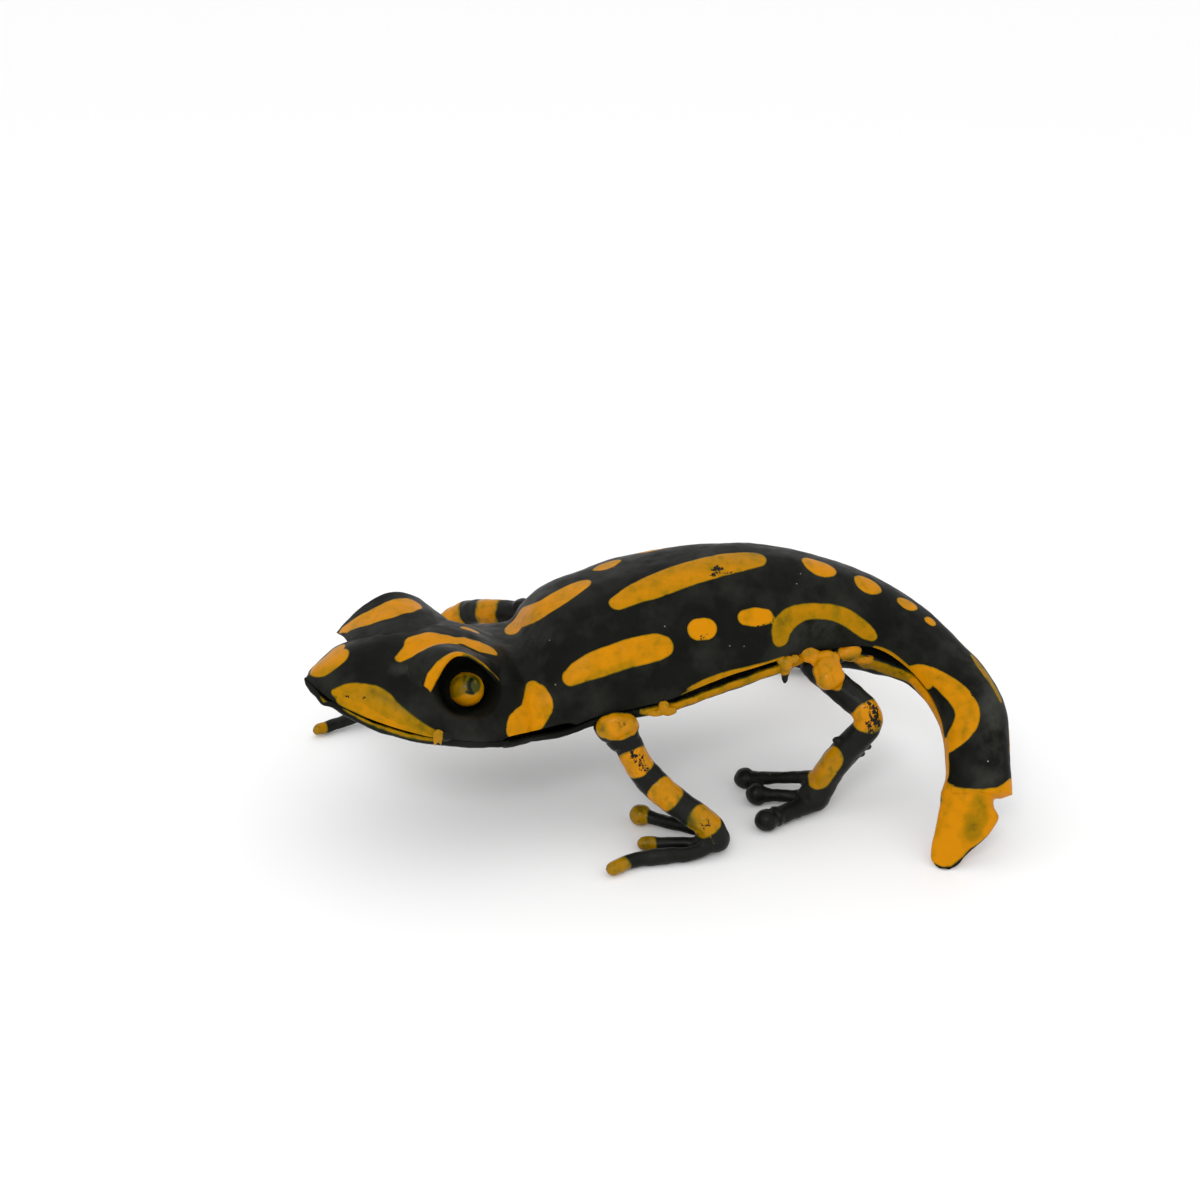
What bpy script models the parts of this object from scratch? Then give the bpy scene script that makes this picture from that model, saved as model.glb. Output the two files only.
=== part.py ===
"""Painted sheet-steel salamander figure, in a walking pose.

The body is one hammered steel sheet over a hollow: head, trunk and tail, closed from below by three
shallow pans. Four bent round bars are the legs, three wire nails on each are the toes, and steel balls
under bent-up hoods are the eyes. The figure faces -Y, its left side is +X, and it stands on Z = 0.
Lengths below are in millimetres and are turned into metres where the meshes are made.
"""
import math

import bmesh
import bpy
import numpy as np
from mathutils import Matrix, Vector

MM = 0.001

# ---------------------------------------------------------------- driving dimensions
SHEET = 1.0            # thickness of the steel sheet
GAP = 0.3              # clearance between pieces that are welded or touch
SEAM = 0.8             # clearance between the sheet's rim and the pans
BAR_R = 4.0            # radius of the round bar of the legs
NAIL_R = 1.9           # radius of a toe's shank
THICK_NAIL_R = 2.2     # radius of the thickest toe's shank
KNOB_R = 3.2           # radius of the round knob at a nail's end
TOE_R = 2.1            # radius of the thick outer toe
EYE_R = 4.4            # radius of an eye ball
SOCKET_INNER = 4.8     # the socket is at its full depth inside this radius
SOCKET_OUTER = 10.5    # and fades into the head at this one
SOCKET_FLOOR = 5.0     # depth of the socket below the centre of the ball
NOSE_WALL = 1.6        # thickness of the steel where it is folded to a point at the snout
PAN_FULLNESS = 3.0     # superellipse power of the pans' cross-section
CENTRE = (5.9, 10.2)  # x and y of the middle of the figure in the stations' frame

# Stations of the body from snout to tip: x, y and z of the middle of the rim, half width, crown
# height over the rim, and the superellipse power of the arch.
STATIONS = (
    ("snout",     (23.0, -84.5, 51.5), 1.5, 1.5, 1.8),
    ("muzzle",    (21.5, -76.0, 47.0), 14.5, 11.5, 1.8),
    ("cheek",     (18.0, -61.0, 42.0), 26.5, 18.0, 1.8),
    ("brow",      (13.5, -45.0, 37.5), 30.0, 19.0, 1.8),
    ("nape",      (9.5, -31.5, 35.0), 28.0, 15.0, 2.0),
    ("neck",      (9.0, -21.0, 35.0), 27.0, 17.5, 2.0),
    ("shoulder",  (8.0, -9.0, 38.0), 27.5, 24.0, 2.2),
    ("ribs",      (6.5, 13.5, 40.5), 28.0, 27.5, 2.2),
    ("back",      (8.5, 37.5, 45.5), 23.5, 25.5, 2.2),
    ("hip",       (11.5, 58.5, 47.5), 18.0, 20.0, 2.2),
    ("tail_root", (17.5, 78.0, 46.5), 12.5, 12.5, 2.2),
    ("tail_bend", (29.0, 90.0, 41.0), 10.0, 8.0, 2.2),
    ("tail_mid",  (45.0, 95.5, 33.5), 9.5, 7.5, 2.2),
    ("tail_low",  (58.5, 93.0, 23.0), 8.5, 6.5, 2.2),
    ("leaf",      (64.4, 90.7, 17.4), 9.4, 5.2, 2.2),
)
# Rows of the flat leaf that ends the tail: distance down from the last station, the two edges to
# the figure's rear (+) and front (-), and the height of the arch between them.
LEAF_ROWS = ((0.0, -9.6, 8.8, 5.2), (1.2, -9.8, 7.6, 4.8), (2.6, -10.2, 4.8, 4.4), (6.4, -11.3, 4.4, 3.6),
             (10.8, -12.9, 0.9, 2.5), (15.0, -14.3, -4.0, 1.4), (21.3, -13.0, -10.4, 0.5))
LEAF_DOWN = Vector((12.4, 0.0, -17.4)).normalized()
NAMES = [row[0] for row in STATIONS]
TABLE = np.array([(*row[1], *row[2:]) for row in STATIONS], float)


def at(name, offset=0.0):
    """Place along the body, in stations, of a named station plus a part of the way to the next."""
    return NAMES.index(name) + offset


# ---------------------------------------------------------------- curves and the body's surface
def catmull(table, s):
    """Catmull-Rom interpolation of the rows of a table at the place s."""
    last = len(table) - 1
    i = min(max(int(math.floor(s)), 0), last - 1)
    t = s - i
    p1, p2 = table[i], table[i + 1]
    p0 = table[i - 1] if i > 0 else 2 * p1 - p2
    p3 = table[i + 2] if i + 2 <= last else 2 * p2 - p1
    return 0.5 * (2 * p1 + (p2 - p0) * t + (2 * p0 - 5 * p1 + 4 * p2 - p3) * t ** 2
                  + (3 * p1 - p0 - 3 * p2 + p3) * t ** 3)


def spine(s):
    """Rim centre, side axis (to the figure's left), up axis, half width, crown and power at s."""
    row = catmull(TABLE, s)
    ahead = catmull(TABLE, s + 0.02) if s < len(TABLE) - 1.02 else row
    behind = catmull(TABLE, s - 0.02) if s > 0.02 else row
    along = Vector(ahead[:3] - behind[:3]).normalized()
    side = along.cross(Vector((0, 0, 1))).normalized()
    up = side.cross(along).normalized()
    return Vector(row[:3]), side, up, row[3], row[4], row[5]


def power(value, exponent):
    """Signed power, for superellipses."""
    return math.copysign(abs(value) ** exponent, value)


HEAD_YAW = math.radians(18)
HEAD_TIP = Vector((25.0, -84.0, 0.0))
HEAD_BACK = Vector((-math.sin(HEAD_YAW), math.cos(HEAD_YAW), 0))
HEAD_LEFT = Vector((math.cos(HEAD_YAW), math.sin(HEAD_YAW), 0))


def on_head(back, left, height):
    """Point of the head from its distance behind the snout, to the left of its axis, and height."""
    return HEAD_TIP + HEAD_BACK * back + HEAD_LEFT * left + Vector((0, 0, height))


EYE_BACK, EYE_SIDE, EYE_HEIGHT = 37.0, 18.0, 48.5


def eye_centre(side):
    return on_head(EYE_BACK, side * EYE_SIDE, EYE_HEIGHT)


def eye_axis(side):
    """Direction in which an eye looks: outward, a little forward and up."""
    return (HEAD_LEFT * side * 0.8 - HEAD_BACK * 0.2 + Vector((0, 0, 0.55))).normalized()


def smooth(edge0, edge1, value):
    t = min(max((value - edge0) / (edge1 - edge0), 0.0), 1.0)
    return t * t * (3 - 2 * t)


def socketed(point):
    """Push a point of the head's sheet into the eye socket that it lies over."""
    for side in (1, -1):
        offset = point - eye_centre(side)
        axis = eye_axis(side)
        height = offset.dot(axis)
        radius = (offset - axis * height).length
        if height > -EYE_R and radius < SOCKET_OUTER:
            depth = (height + SOCKET_FLOOR) * (1 - smooth(SOCKET_INNER, SOCKET_OUTER, radius))
            point = point - axis * depth
    return point


def arch(s, angle):
    """Point of the outer face of the body's sheet; angle 0 is the crown, +90 degrees the left rim."""
    centre, side, up, half, crown, fullness = spine(s)
    across = half * power(math.sin(angle), 2 / fullness)
    above = crown * power(math.cos(angle), 2 / fullness)
    return socketed(centre + side * across + up * above)


# ---------------------------------------------------------------- mesh helpers
def material(name, colour, metallic, roughness):
    mat = bpy.data.materials.new(name)
    mat.use_nodes = True
    shader = mat.node_tree.nodes["Principled BSDF"]
    shader.inputs["Base Color"].default_value = (*colour, 1.0)
    shader.inputs["Metallic"].default_value = metallic
    shader.inputs["Roughness"].default_value = roughness
    mat.diffuse_color = (*colour, 1.0)
    return mat


BLACK = (0.014, 0.014, 0.011)
YELLOW = (0.60, 0.27, 0.004)


def add_object(name, mesh, colour):
    mesh.transform(Matrix.Translation((-CENTRE[0] * MM, -CENTRE[1] * MM, 0)))
    obj = bpy.data.objects.new(name, mesh)
    bpy.context.collection.objects.link(obj)
    mesh.materials.append(material("paint_" + name, colour, 0.0, 0.42))
    mesh.shade_smooth()
    mesh.set_sharp_from_angle(angle=math.radians(40))
    return obj


def mesh_from(bm, name, floor_cut=False):
    """Finish a bmesh: cut it flat at the floor if asked, and turn it into a mesh in metres."""
    if floor_cut:
        geometry = bm.verts[:] + bm.edges[:] + bm.faces[:]
        cut = bmesh.ops.bisect_plane(bm, geom=geometry, dist=1e-5, plane_co=(0, 0, 0),
                                     plane_no=(0, 0, -1), clear_outer=True)
        rim = [e for e in cut["geom_cut"] if isinstance(e, bmesh.types.BMEdge)]
        if rim:
            bmesh.ops.edgeloop_fill(bm, edges=rim)
    bmesh.ops.triangulate(bm, faces=[f for f in bm.faces if len(f.verts) > 3])
    bmesh.ops.recalc_face_normals(bm, faces=bm.faces[:])
    bmesh.ops.scale(bm, vec=(MM, MM, MM), verts=bm.verts[:])
    mesh = bpy.data.meshes.new(name)
    bm.to_mesh(mesh)
    bm.free()
    return mesh


def sheet_solid(name, outer, inner, colour, closed_nose=None, floor_cut=False):
    """Closed solid between two grids of points, outer and inner, of equal size.

    A closed nose is a pair of points, outer and inner, that shut the first row to a point.
    """
    bm = bmesh.new()
    layers = [[[bm.verts.new(p) for p in row] for row in grid] for grid in (outer, inner)]
    for layer in layers:
        for row, following in zip(layer, layer[1:]):
            for j in range(len(row) - 1):
                bm.faces.new((row[j], row[j + 1], following[j + 1], following[j]))
    out, inn = layers
    for i in range(len(out) - 1):
        for j in (0, -1):
            bm.faces.new((out[i][j], out[i + 1][j], inn[i + 1][j], inn[i][j]))
    ends = [-1] if closed_nose else [0, -1]
    for i in ends:
        for j in range(len(out[i]) - 1):
            bm.faces.new((out[i][j], out[i][j + 1], inn[i][j + 1], inn[i][j]))
    if closed_nose:
        tips = [bm.verts.new(p) for p in closed_nose]
        for layer, tip in zip(layers, tips):
            for j in range(len(layer[0]) - 1):
                bm.faces.new((layer[0][j], layer[0][j + 1], tip))
        for j in (0, -1):
            bm.faces.new((out[0][j], inn[0][j], tips[1], tips[0]))
    return add_object(name, mesh_from(bm, name, floor_cut), colour)


def thickened(grid, depth, places=None):
    """Second grid, at a depth along the normals of the first.

    Where the places along the body are given, the rims of both grids keep one height.
    """
    points = np.array([[tuple(p) for p in row] for row in grid])
    normal = np.cross(np.gradient(points, axis=0), np.gradient(points, axis=1))
    for i, s in enumerate(places or ()):
        up = np.array(spine(s)[2])
        for j in (0, -1):
            normal[i, j] -= up * normal[i, j].dot(up)
    normal /= np.linalg.norm(normal, axis=2)[..., None]
    return [[Vector(p) for p in row] for row in points + normal * depth]


def rows_between(start, end, count):
    return [start + (end - start) * i / (count - 1) for i in range(count)]


# ---------------------------------------------------------------- the body's sheet and its pans
ARCH_STEPS = 16        # facets across the body's sheet
CUT = 0.05             # width of the cuts between the lengths of the sheet, in stations
FIRST_ROW = 0.22       # place of the row next to the tip of the snout, in stations


def body_length(name, start, end, rows, closed_nose=False):
    """One length of the body's sheet between two places along the spine."""
    angles = [math.radians(a) for a in np.linspace(-90, 90, ARCH_STEPS + 1)]
    places = rows_between(start, end, rows)
    outer = [[arch(s, a) for a in angles] for s in places]
    inner = thickened(outer, SHEET, places)
    nose = None
    if closed_nose:
        tip = spine(0)[0]
        nose = (tip, tip + (outer[0][ARCH_STEPS // 2] - tip).normalized() * NOSE_WALL)
    return sheet_solid(name, outer, inner, BLACK, nose)


PAN_STEPS = 8          # facets across a pan


def pan_point(s, angle, depth, drop):
    """Point of the outer face of a pan: the arch turned over, below the rim by the drop."""
    centre, side, up, half, _crown, _fullness = spine(s)
    across = half * power(math.sin(angle), 2 / PAN_FULLNESS)
    below = depth * power(math.cos(angle), 2 / PAN_FULLNESS)
    return centre + side * across - up * (drop + below)


def pan(name, start, end, rows, depth, slits=(), closed_nose=False):
    """Shallow pan under the rim. A slit is (start, end, height) of a gap to the sheet above."""
    angles = [math.radians(a) for a in np.linspace(-90, 90, PAN_STEPS + 1)]

    def drop(s):
        extra = sum(h * math.sin(math.pi * (s - a) / (b - a)) for a, b, h in slits if a < s < b)
        return SEAM + extra

    places = rows_between(start, end, rows)
    outer = [[pan_point(s, a, depth(s), drop(s)) for a in angles] for s in places]
    inner = thickened(outer, -SHEET, places)
    nose = None
    if closed_nose:
        tip = spine(0)[0] - Vector((0, 0, 2 * SEAM))
        nose = (tip, tip + (outer[0][PAN_STEPS // 2] - tip).normalized() * NOSE_WALL)
    return sheet_solid(name, outer, inner, BLACK, nose)


def tail_leaf(name):
    """Flat leaf that hangs from the tail's last station down to the floor."""
    centre, side, up, _half, _crown, fullness = spine(at("leaf"))
    rearward = side if side.y > 0 else -side
    table = np.array(LEAF_ROWS, float)
    first_row, last_row = 0.9, len(table) - 1
    steps = ARCH_STEPS // 2
    outer = []
    for s in rows_between(first_row, last_row, 9):
        down, front, rear, bulge = catmull(table, s)
        middle = centre + LEAF_DOWN * down + rearward * (front + rear) / 2
        row = []
        for k in range(steps + 1):
            angle = math.radians(-90 + 180 * k / steps)
            across = power(math.sin(angle), 2 / fullness) * (rear - front) / 2
            above = power(math.cos(angle), 2 / fullness) * bulge
            row.append(middle + rearward * across + up * above)
        outer.append(row)
    return sheet_solid(name, outer, thickened(outer, -SHEET), BLACK, floor_cut=True)


def build_body():
    head_end = at("nape", 0.6)
    body_length("head_shell", FIRST_ROW, head_end - CUT, 20, closed_nose=True)
    body_length("trunk_shell", head_end, at("tail_root") - CUT / 2, 18)
    body_length("tail_shell", at("tail_root"), at("leaf") - CUT, 12)
    tail_leaf("tail_leaf")


def jaw_depth(s):
    return 2.0 + 2.5 * smooth(at("snout"), at("cheek"), s)


def belly_depth(s):
    return 4.3 + 1.7 * smooth(at("neck"), at("ribs"), s) - smooth(at("back"), at("hip"), s)


def tail_depth(s):
    return 8.5 - 2.5 * smooth(at("hip", 0.3), at("tail_mid"), s)


def build_pans():
    jaw_end = at("brow", 0.2)
    belly_end = at("hip", 0.3)
    belly_slit = (at("shoulder", 0.5), at("hip"), 1.4)
    tail_slit = (belly_end, at("tail_bend"), 2.4)
    pan("jaw_pan", FIRST_ROW, jaw_end - CUT, 9, jaw_depth, closed_nose=True)
    pan("belly_pan", jaw_end, belly_end - CUT, 18, belly_depth, slits=(belly_slit,))
    pan("tail_pan", belly_end, at("tail_low", 0.6), 13, tail_depth, slits=(tail_slit,))


# ---------------------------------------------------------------- eyes and hoods
HOOD_STEPS = 10        # facets along a hood
HOOD_ROWS = 4          # facets across it
HOOD_CLEARANCE = 1.3   # from the head's sheet to the hood's lower face
HOOD_REAR = 45.5       # distance behind the snout of the mouth's rear end
MOUTH_SIDE = 20.5      # distance of the mouth's middle from the head's axis
MOUTH_FRONT_Z = 51.5   # height of the mouth's front end
MOUTH_REAR_Z = 46.5    # and of its rear end
HEAD_SAMPLES = []


def hood_mouth(side, front, rise, skew, t):
    """Point of a hood's mouth, an arch over the ball, from its front end at t = 0 to its rear at 1."""
    back = front + (HOOD_REAR - front) * t
    out = MOUTH_SIDE + 1.5 * math.cos(math.pi * t) ** 2
    height = MOUTH_FRONT_Z + (MOUTH_REAR_Z - MOUTH_FRONT_Z) * t
    return on_head(back, side * out, height + rise * math.sin(math.pi * t ** skew) ** 0.8)


def hood_root(side, front, t):
    """Point of a hood's root, which lies on the head nearer to its axis."""
    back = front + 5.0 + (HOOD_REAR - 1.5 - front) * t
    out = 12.0 - 5.0 * math.sin(math.pi * t) + 5.0 * t ** 3
    root = on_head(back, side * out, 0)
    root.z = head_height(root) + HOOD_CLEARANCE
    return root


def hood(name, side, front, rise, skew):
    """Sheet bent up over an eye, between its mouth and its root."""
    grid = []
    for i in range(HOOD_STEPS + 1):
        t = i / HOOD_STEPS
        mouth = hood_mouth(side, front, rise, skew, t)
        root = hood_root(side, front, t)
        middle = (mouth + root) / 2 + Vector((0, 0, 1.0 + 2.5 * math.sin(math.pi * t)))
        row = []
        for k in range(HOOD_ROWS + 1):
            v = k / HOOD_ROWS
            point = mouth * (1 - v) ** 2 + middle * 2 * v * (1 - v) + root * v ** 2
            point.z = max(point.z, head_height(point) + HOOD_CLEARANCE)
            row.append(point)
        grid.append(row)
    upper = thickened(grid, -SHEET * side)
    return sheet_solid(name, upper, grid, BLACK)


def head_height(point):
    """Height of the head's sheet under or over a point, from the nearest places on the sheet."""
    if not HEAD_SAMPLES:
        for i in range(100):
            for j in range(61):
                HEAD_SAMPLES.append(tuple(arch(0.3 + 0.04 * i, math.radians(-75 + 2.5 * j))))
    samples = np.array(HEAD_SAMPLES)
    miss = (samples[:, 0] - point.x) ** 2 + (samples[:, 1] - point.y) ** 2
    return samples[np.argsort(miss)[:4], 2].max()


# Hoods: side, distance of the mouth's front end behind the snout, rise of the mouth, and its skew.
HOODS = (("left", 1, 25.0, 10.5, 1.0), ("right", -1, 17.5, 12.5, 1.3))


def ball(name, centre, radius, colour):
    bm = bmesh.new()
    bmesh.ops.create_uvsphere(bm, u_segments=14, v_segments=9, radius=radius)
    bmesh.ops.translate(bm, vec=centre, verts=bm.verts[:])
    return add_object(name, mesh_from(bm, name), colour)


def build_eyes():
    for word, side, front, rise, skew in HOODS:
        ball("eye_" + word, eye_centre(side), EYE_R, YELLOW)
        hood("eye_hood_" + word, side, front, rise, skew)


# ---------------------------------------------------------------- legs and toes
def sweep(name, path, radii, colour, sides, floor_cut=True):
    """Round bar along a path of points, with a radius at each, closed by a flat face at each end."""
    bm = bmesh.new()
    path = [Vector(p) for p in path]
    normal = None
    rings = []
    for i, point in enumerate(path):
        along = (path[min(i + 1, len(path) - 1)] - path[max(i - 1, 0)]).normalized()
        if normal is None:
            normal = along.orthogonal().normalized()
        normal = (normal - along * normal.dot(along)).normalized()
        binormal = along.cross(normal)
        turn = [2 * math.pi * k / sides for k in range(sides)]
        rings.append([bm.verts.new(point + (normal * math.cos(a) + binormal * math.sin(a)) * radii[i])
                      for a in turn])
    for ring, following in zip(rings, rings[1:]):
        for k in range(sides):
            n = (k + 1) % sides
            bm.faces.new((ring[k], ring[n], following[n], following[k]))
    bm.faces.new(rings[0][::-1])
    bm.faces.new(rings[-1])
    return add_object(name, mesh_from(bm, name, floor_cut), colour)


def smooth_path(points, per_span):
    table = np.array(points, float)
    steps = (len(points) - 1) * per_span
    return [Vector(catmull(table, i / per_span)) for i in range(steps + 1)]


def bent_bar(name, points):
    """Leg: a bent round bar with a domed lower end."""
    path = smooth_path(points, 2)
    end, before = path[-1], path[-2]
    along = (end - before).normalized()
    radii = [BAR_R] * len(path)
    for angle in (35, 65):
        a = math.radians(angle)
        path.append(end + along * BAR_R * math.sin(a))
        radii.append(BAR_R * math.cos(a))
    sweep(name, path, radii, BLACK, 10)


def nail_toe(name, root, tip, shank):
    """Toe made of a nail: a straight shank and a round knob at the tip."""
    root, tip = Vector(root), Vector(tip)
    middle = (tip - root).length - KNOB_R + 0.3
    profile = [(0, shank), (middle - 3.6, shank)]
    for angle in (-48, -16, 16, 48, 78):
        turn = math.radians(angle)
        profile.append((middle + KNOB_R * math.sin(turn), KNOB_R * math.cos(turn)))
    along = (tip - root).normalized()
    sweep(name, [root + along * d for d, _r in profile], [r for _d, r in profile], BLACK, 10)


def wire_toe(name, points, radius):
    """Toe made of a cut wire with a rounded tip."""
    path = smooth_path(points, 2)
    end = path[-1]
    along = (end - path[-2]).normalized()
    radii = [radius] * len(path)
    for distance, part in ((0.5, 0.85), (0.8, 0.5)):
        path.append(end + along * radius * distance)
        radii.append(radius * part)
    sweep(name, path, radii, BLACK, 10)


LEGS = {
    "front_left": ((36.0, 0.0, 29.0), (37.5, 2.0, 24.0), (40.0, 5.0, 19.5), (43.5, 9.5, 15.5),
                   (46.5, 14.5, 12.0), (49.5, 19.5, 8.5), (51.0, 21.5, 4.5)),
    "hind_left": ((23.0, 54.0, 37.0), (27.5, 57.0, 38.5), (33.0, 62.5, 36.0), (38.0, 66.5, 33.0),
                  (39.5, 68.0, 29.5), (40.0, 66.0, 26.0), (39.0, 63.5, 22.0), (38.0, 59.5, 16.0),
                  (37.5, 56.5, 10.0), (37.5, 54.5, 5.0)),
    "front_right": ((-20.5, -11.0, 30.0), (-26.0, -19.0, 38.8), (-33.0, -28.5, 38.0), (-38.5, -35.0, 35.0),
                    (-42.0, -42.0, 28.5), (-42.5, -49.0, 20.0), (-41.0, -55.0, 11.0), (-40.5, -58.5, 5.0)),
    "hind_right": ((-2.0, 61.0, 36.5), (-9.0, 64.0, 37.0), (-19.0, 69.0, 36.0), (-27.0, 73.5, 33.0),
                   (-32.0, 76.5, 27.0), (-35.5, 79.5, 19.0), (-38.5, 82.0, 11.0), (-40.0, 83.5, 5.0)),
}
NAIL_TOES = {
    "front_left_1": ((45.8, 19.8, 3.5), (32.5, 3.0, 3.0)),
    "hind_left_1": ((33.0, 52.0, 9.0), (20.5, 36.0, 3.0)),
    "hind_left_2": ((34.6, 50.5, 3.5), (28.6, 37.4, 3.0)),
    "hind_left_3": ((39.2, 49.5, 3.0), (44.0, 36.0, 3.0)),
    "hind_right_1": ((-42.0, 78.5, 3.5), (-49.0, 67.5, 3.0)),
    "hind_right_3": ((-45.5, 85.5, 3.0), (-61.0, 85.0, 3.0)),
}
WIRE_TOES = {
    "front_right_1": (((-39.5, -64.0, 5.0), (-37.5, -73.0, 3.6), (-35.0, -82.0, 2.1)), 1.9),
    "front_left_2": (((49.5, 16.5, 2.5), (47.5, 10.0, 2.0), (45.5, 2.5, 1.5)), 1.8),
    "front_left_3": (((53.5, 16.5, 2.5), (53.0, 8.0, 2.0), (53.0, -1.0, 2.0), (55.5, -8.0, 2.0)), TOE_R),
    "front_right_2": (((-43.0, -63.5, 2.5), (-47.0, -67.0, 2.0), (-50.5, -70.0, 1.5)), 1.8),
    "front_right_3": (((-45.5, -59.5, 2.5), (-51.0, -61.5, 2.0), (-57.0, -63.5, 2.0)), TOE_R),
    "hind_right_2": (((-45.5, 81.0, 2.5), (-50.0, 78.0, 2.0), (-57.5, 73.5, 1.5)), 1.8),
}


def build_legs():
    for word, points in LEGS.items():
        bent_bar("leg_" + word, points)
    for word, (root, tip) in NAIL_TOES.items():
        nail_toe("toe_" + word, root, tip, THICK_NAIL_R if word == "hind_left_3" else NAIL_R)
    for word, (points, radius) in WIRE_TOES.items():
        wire_toe("toe_" + word, points, radius)


# ---------------------------------------------------------------- welds
def rim_point(s, side):
    """Place on the joint between sheet and pan, and the direction straight out from it."""
    centre, left, _up, half, _crown, _fullness = spine(s)
    return centre + left * side * half, left * side


def weld(name, centre, radii, planes, seed, colour=YELLOW):
    """Lumpy bead of weld metal, cut flat by planes that keep it clear of its neighbours."""
    bm = bmesh.new()
    bmesh.ops.create_uvsphere(bm, u_segments=10, v_segments=7, radius=1.0)
    for v in bm.verts:
        x, y, z = v.co
        lump = math.sin(3.1 * x + seed) * math.cos(2.7 * y - 2 * seed) + math.sin(4.3 * z + 1.7 * seed)
        v.co = Vector((x * radii[0], y * radii[1], z * radii[2])) * (1 + 0.07 * lump) + Vector(centre)
    for point, outward in planes:
        geometry = bm.verts[:] + bm.edges[:] + bm.faces[:]
        cut = bmesh.ops.bisect_plane(bm, geom=geometry, dist=1e-5, plane_co=point, plane_no=outward,
                                     clear_inner=True)
        edges = [e for e in cut["geom_cut"] if isinstance(e, bmesh.types.BMEdge)]
        if edges:
            bmesh.ops.edgeloop_fill(bm, edges=edges)
    return add_object(name, mesh_from(bm, name), colour)


def bar_plane(leg, toward):
    """Plane that touches the top end of a leg's bar, on the side given by a direction."""
    top, second = Vector(LEGS[leg][0]), Vector(LEGS[leg][1])
    along = (top - second).normalized()
    if toward is None:
        return top + along * 1.5 * GAP, along
    out = (Vector(toward) - along * Vector(toward).dot(along)).normalized()
    return top + out * (BAR_R + 2 * GAP), out


def build_welds():
    for word, side, leg, centre, radii, toward in WELDS:
        edge, out = rim_point(nearest_place(centre), side)
        out = (out + WELD_TILT).normalized()
        body_plane = (edge + out * 5 * GAP - Vector((0, 0, 1.5)), out)
        weld(word, centre, radii, [body_plane, bar_plane(leg, toward)], seed=len(word))
    for word, side in (("left", 1), ("right", -1)):
        for number, (s, below, radii) in enumerate(SEAM_BEADS, 1):
            edge, out = rim_point(s, side)
            centre = edge + out * 0.8 - Vector((0, 0, below))
            body_plane = (edge + out * 3 * GAP, out)
            weld("seam_weld_%s_%d" % (word, number), centre, radii, [body_plane], seed=number + side)


def nearest_place(point):
    """Place along the body whose rim is nearest to a point."""
    places = [2 + 0.05 * i for i in range(200)]
    return min(places, key=lambda s: (spine(s)[0].xy - Vector(point).xy).length)


# The sheet leans in above its rim, so the plane that keeps a weld clear of it leans too.
WELD_TILT = Vector((0, 0, -0.45))
# Welds that hold the legs: name, side, leg, centre, radii and the side of the bar that they sit on
# (None is the end of the bar).
WELDS = (
    ("weld_shoulder_left", 1, "front_left", (36.0, -2.6, 33.0), (5.0, 6.2, 4.8), None),
    ("weld_shoulder_right", -1, "front_right", (-23.5, -11.5, 42.5), (4.5, 5.5, 4.5), (-0.3, 0.3, 1.0)),
    ("weld_hip_left", 1, "hind_left", (31.0, 57.5, 41.0), (6.0, 5.5, 7.0), (0.5, 0.3, 0.8)),
    ("weld_hip_right", -1, "hind_right", (-8.0, 60.5, 39.5), (5.0, 5.5, 5.5), (-0.4, -0.2, 0.9)),
)
# Beads along the joint of sheet and pan: place along the body, height below the rim, and radii.
SEAM_BEADS = (
    (at("cheek", 0.12), 0.4, (1.6, 1.6, 2.4)),
    (at("shoulder", 0.84), 1.2, (1.8, 2.4, 1.9)),
    (at("back", 0.55), 2.6, (1.9, 2.3, 4.4)),
)


def main():
    for old in list(bpy.data.objects):
        bpy.data.objects.remove(old, do_unlink=True)
    build_body()
    build_pans()
    build_eyes()
    build_legs()
    build_welds()


main()
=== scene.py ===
"""Looks of a painted sheet-steel salamander figure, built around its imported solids.

Shapes are worked out in millimetres in the figure's own frame, and each piece is turned into metres
when its mesh is finished. The figure faces -Y, its left side is +X, and it stands on Z = 0.
"""
import math

import bmesh
import bpy
import numpy as np
from mathutils import Matrix, Vector, noise
from mathutils.bvhtree import BVHTree


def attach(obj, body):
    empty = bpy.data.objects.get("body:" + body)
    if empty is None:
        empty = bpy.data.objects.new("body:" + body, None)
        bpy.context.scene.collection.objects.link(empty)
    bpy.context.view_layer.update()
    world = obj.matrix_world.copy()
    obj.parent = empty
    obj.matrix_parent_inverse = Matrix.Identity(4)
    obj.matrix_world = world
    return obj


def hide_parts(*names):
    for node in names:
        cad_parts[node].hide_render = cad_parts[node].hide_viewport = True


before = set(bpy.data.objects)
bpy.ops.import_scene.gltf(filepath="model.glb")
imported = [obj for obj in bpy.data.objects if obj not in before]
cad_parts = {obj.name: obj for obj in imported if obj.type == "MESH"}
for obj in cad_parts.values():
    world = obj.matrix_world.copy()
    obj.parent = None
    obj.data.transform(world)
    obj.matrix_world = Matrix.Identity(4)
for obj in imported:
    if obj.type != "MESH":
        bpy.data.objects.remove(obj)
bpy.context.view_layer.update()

UP = Vector((0, 0, 1))
MM = 0.001
CENTRE = (5.9, 10.2)  # x and y of the middle of the figure in the frame of the numbers below
SHEET = 1.0  # thickness of the steel sheet
HOOD_SHEET = 0.9
EDGE = 0.22  # rounding of the hoods' cut edges
BAR_R = 4.0  # radius of the legs' round bar
NAIL_HEAD_R = 3.2
EYE_R = 4.4
BALL_R = 4.65  # radius of the eye with its thick paint
WAVE, DENT = 9.0, 2.6  # sizes of the broad waves and the small dents of hammered steel
FAR = -50.0  # depth of a point that no stroke reaches
TONES = (-0.3, 2)  # limits of a marking's tone

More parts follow.
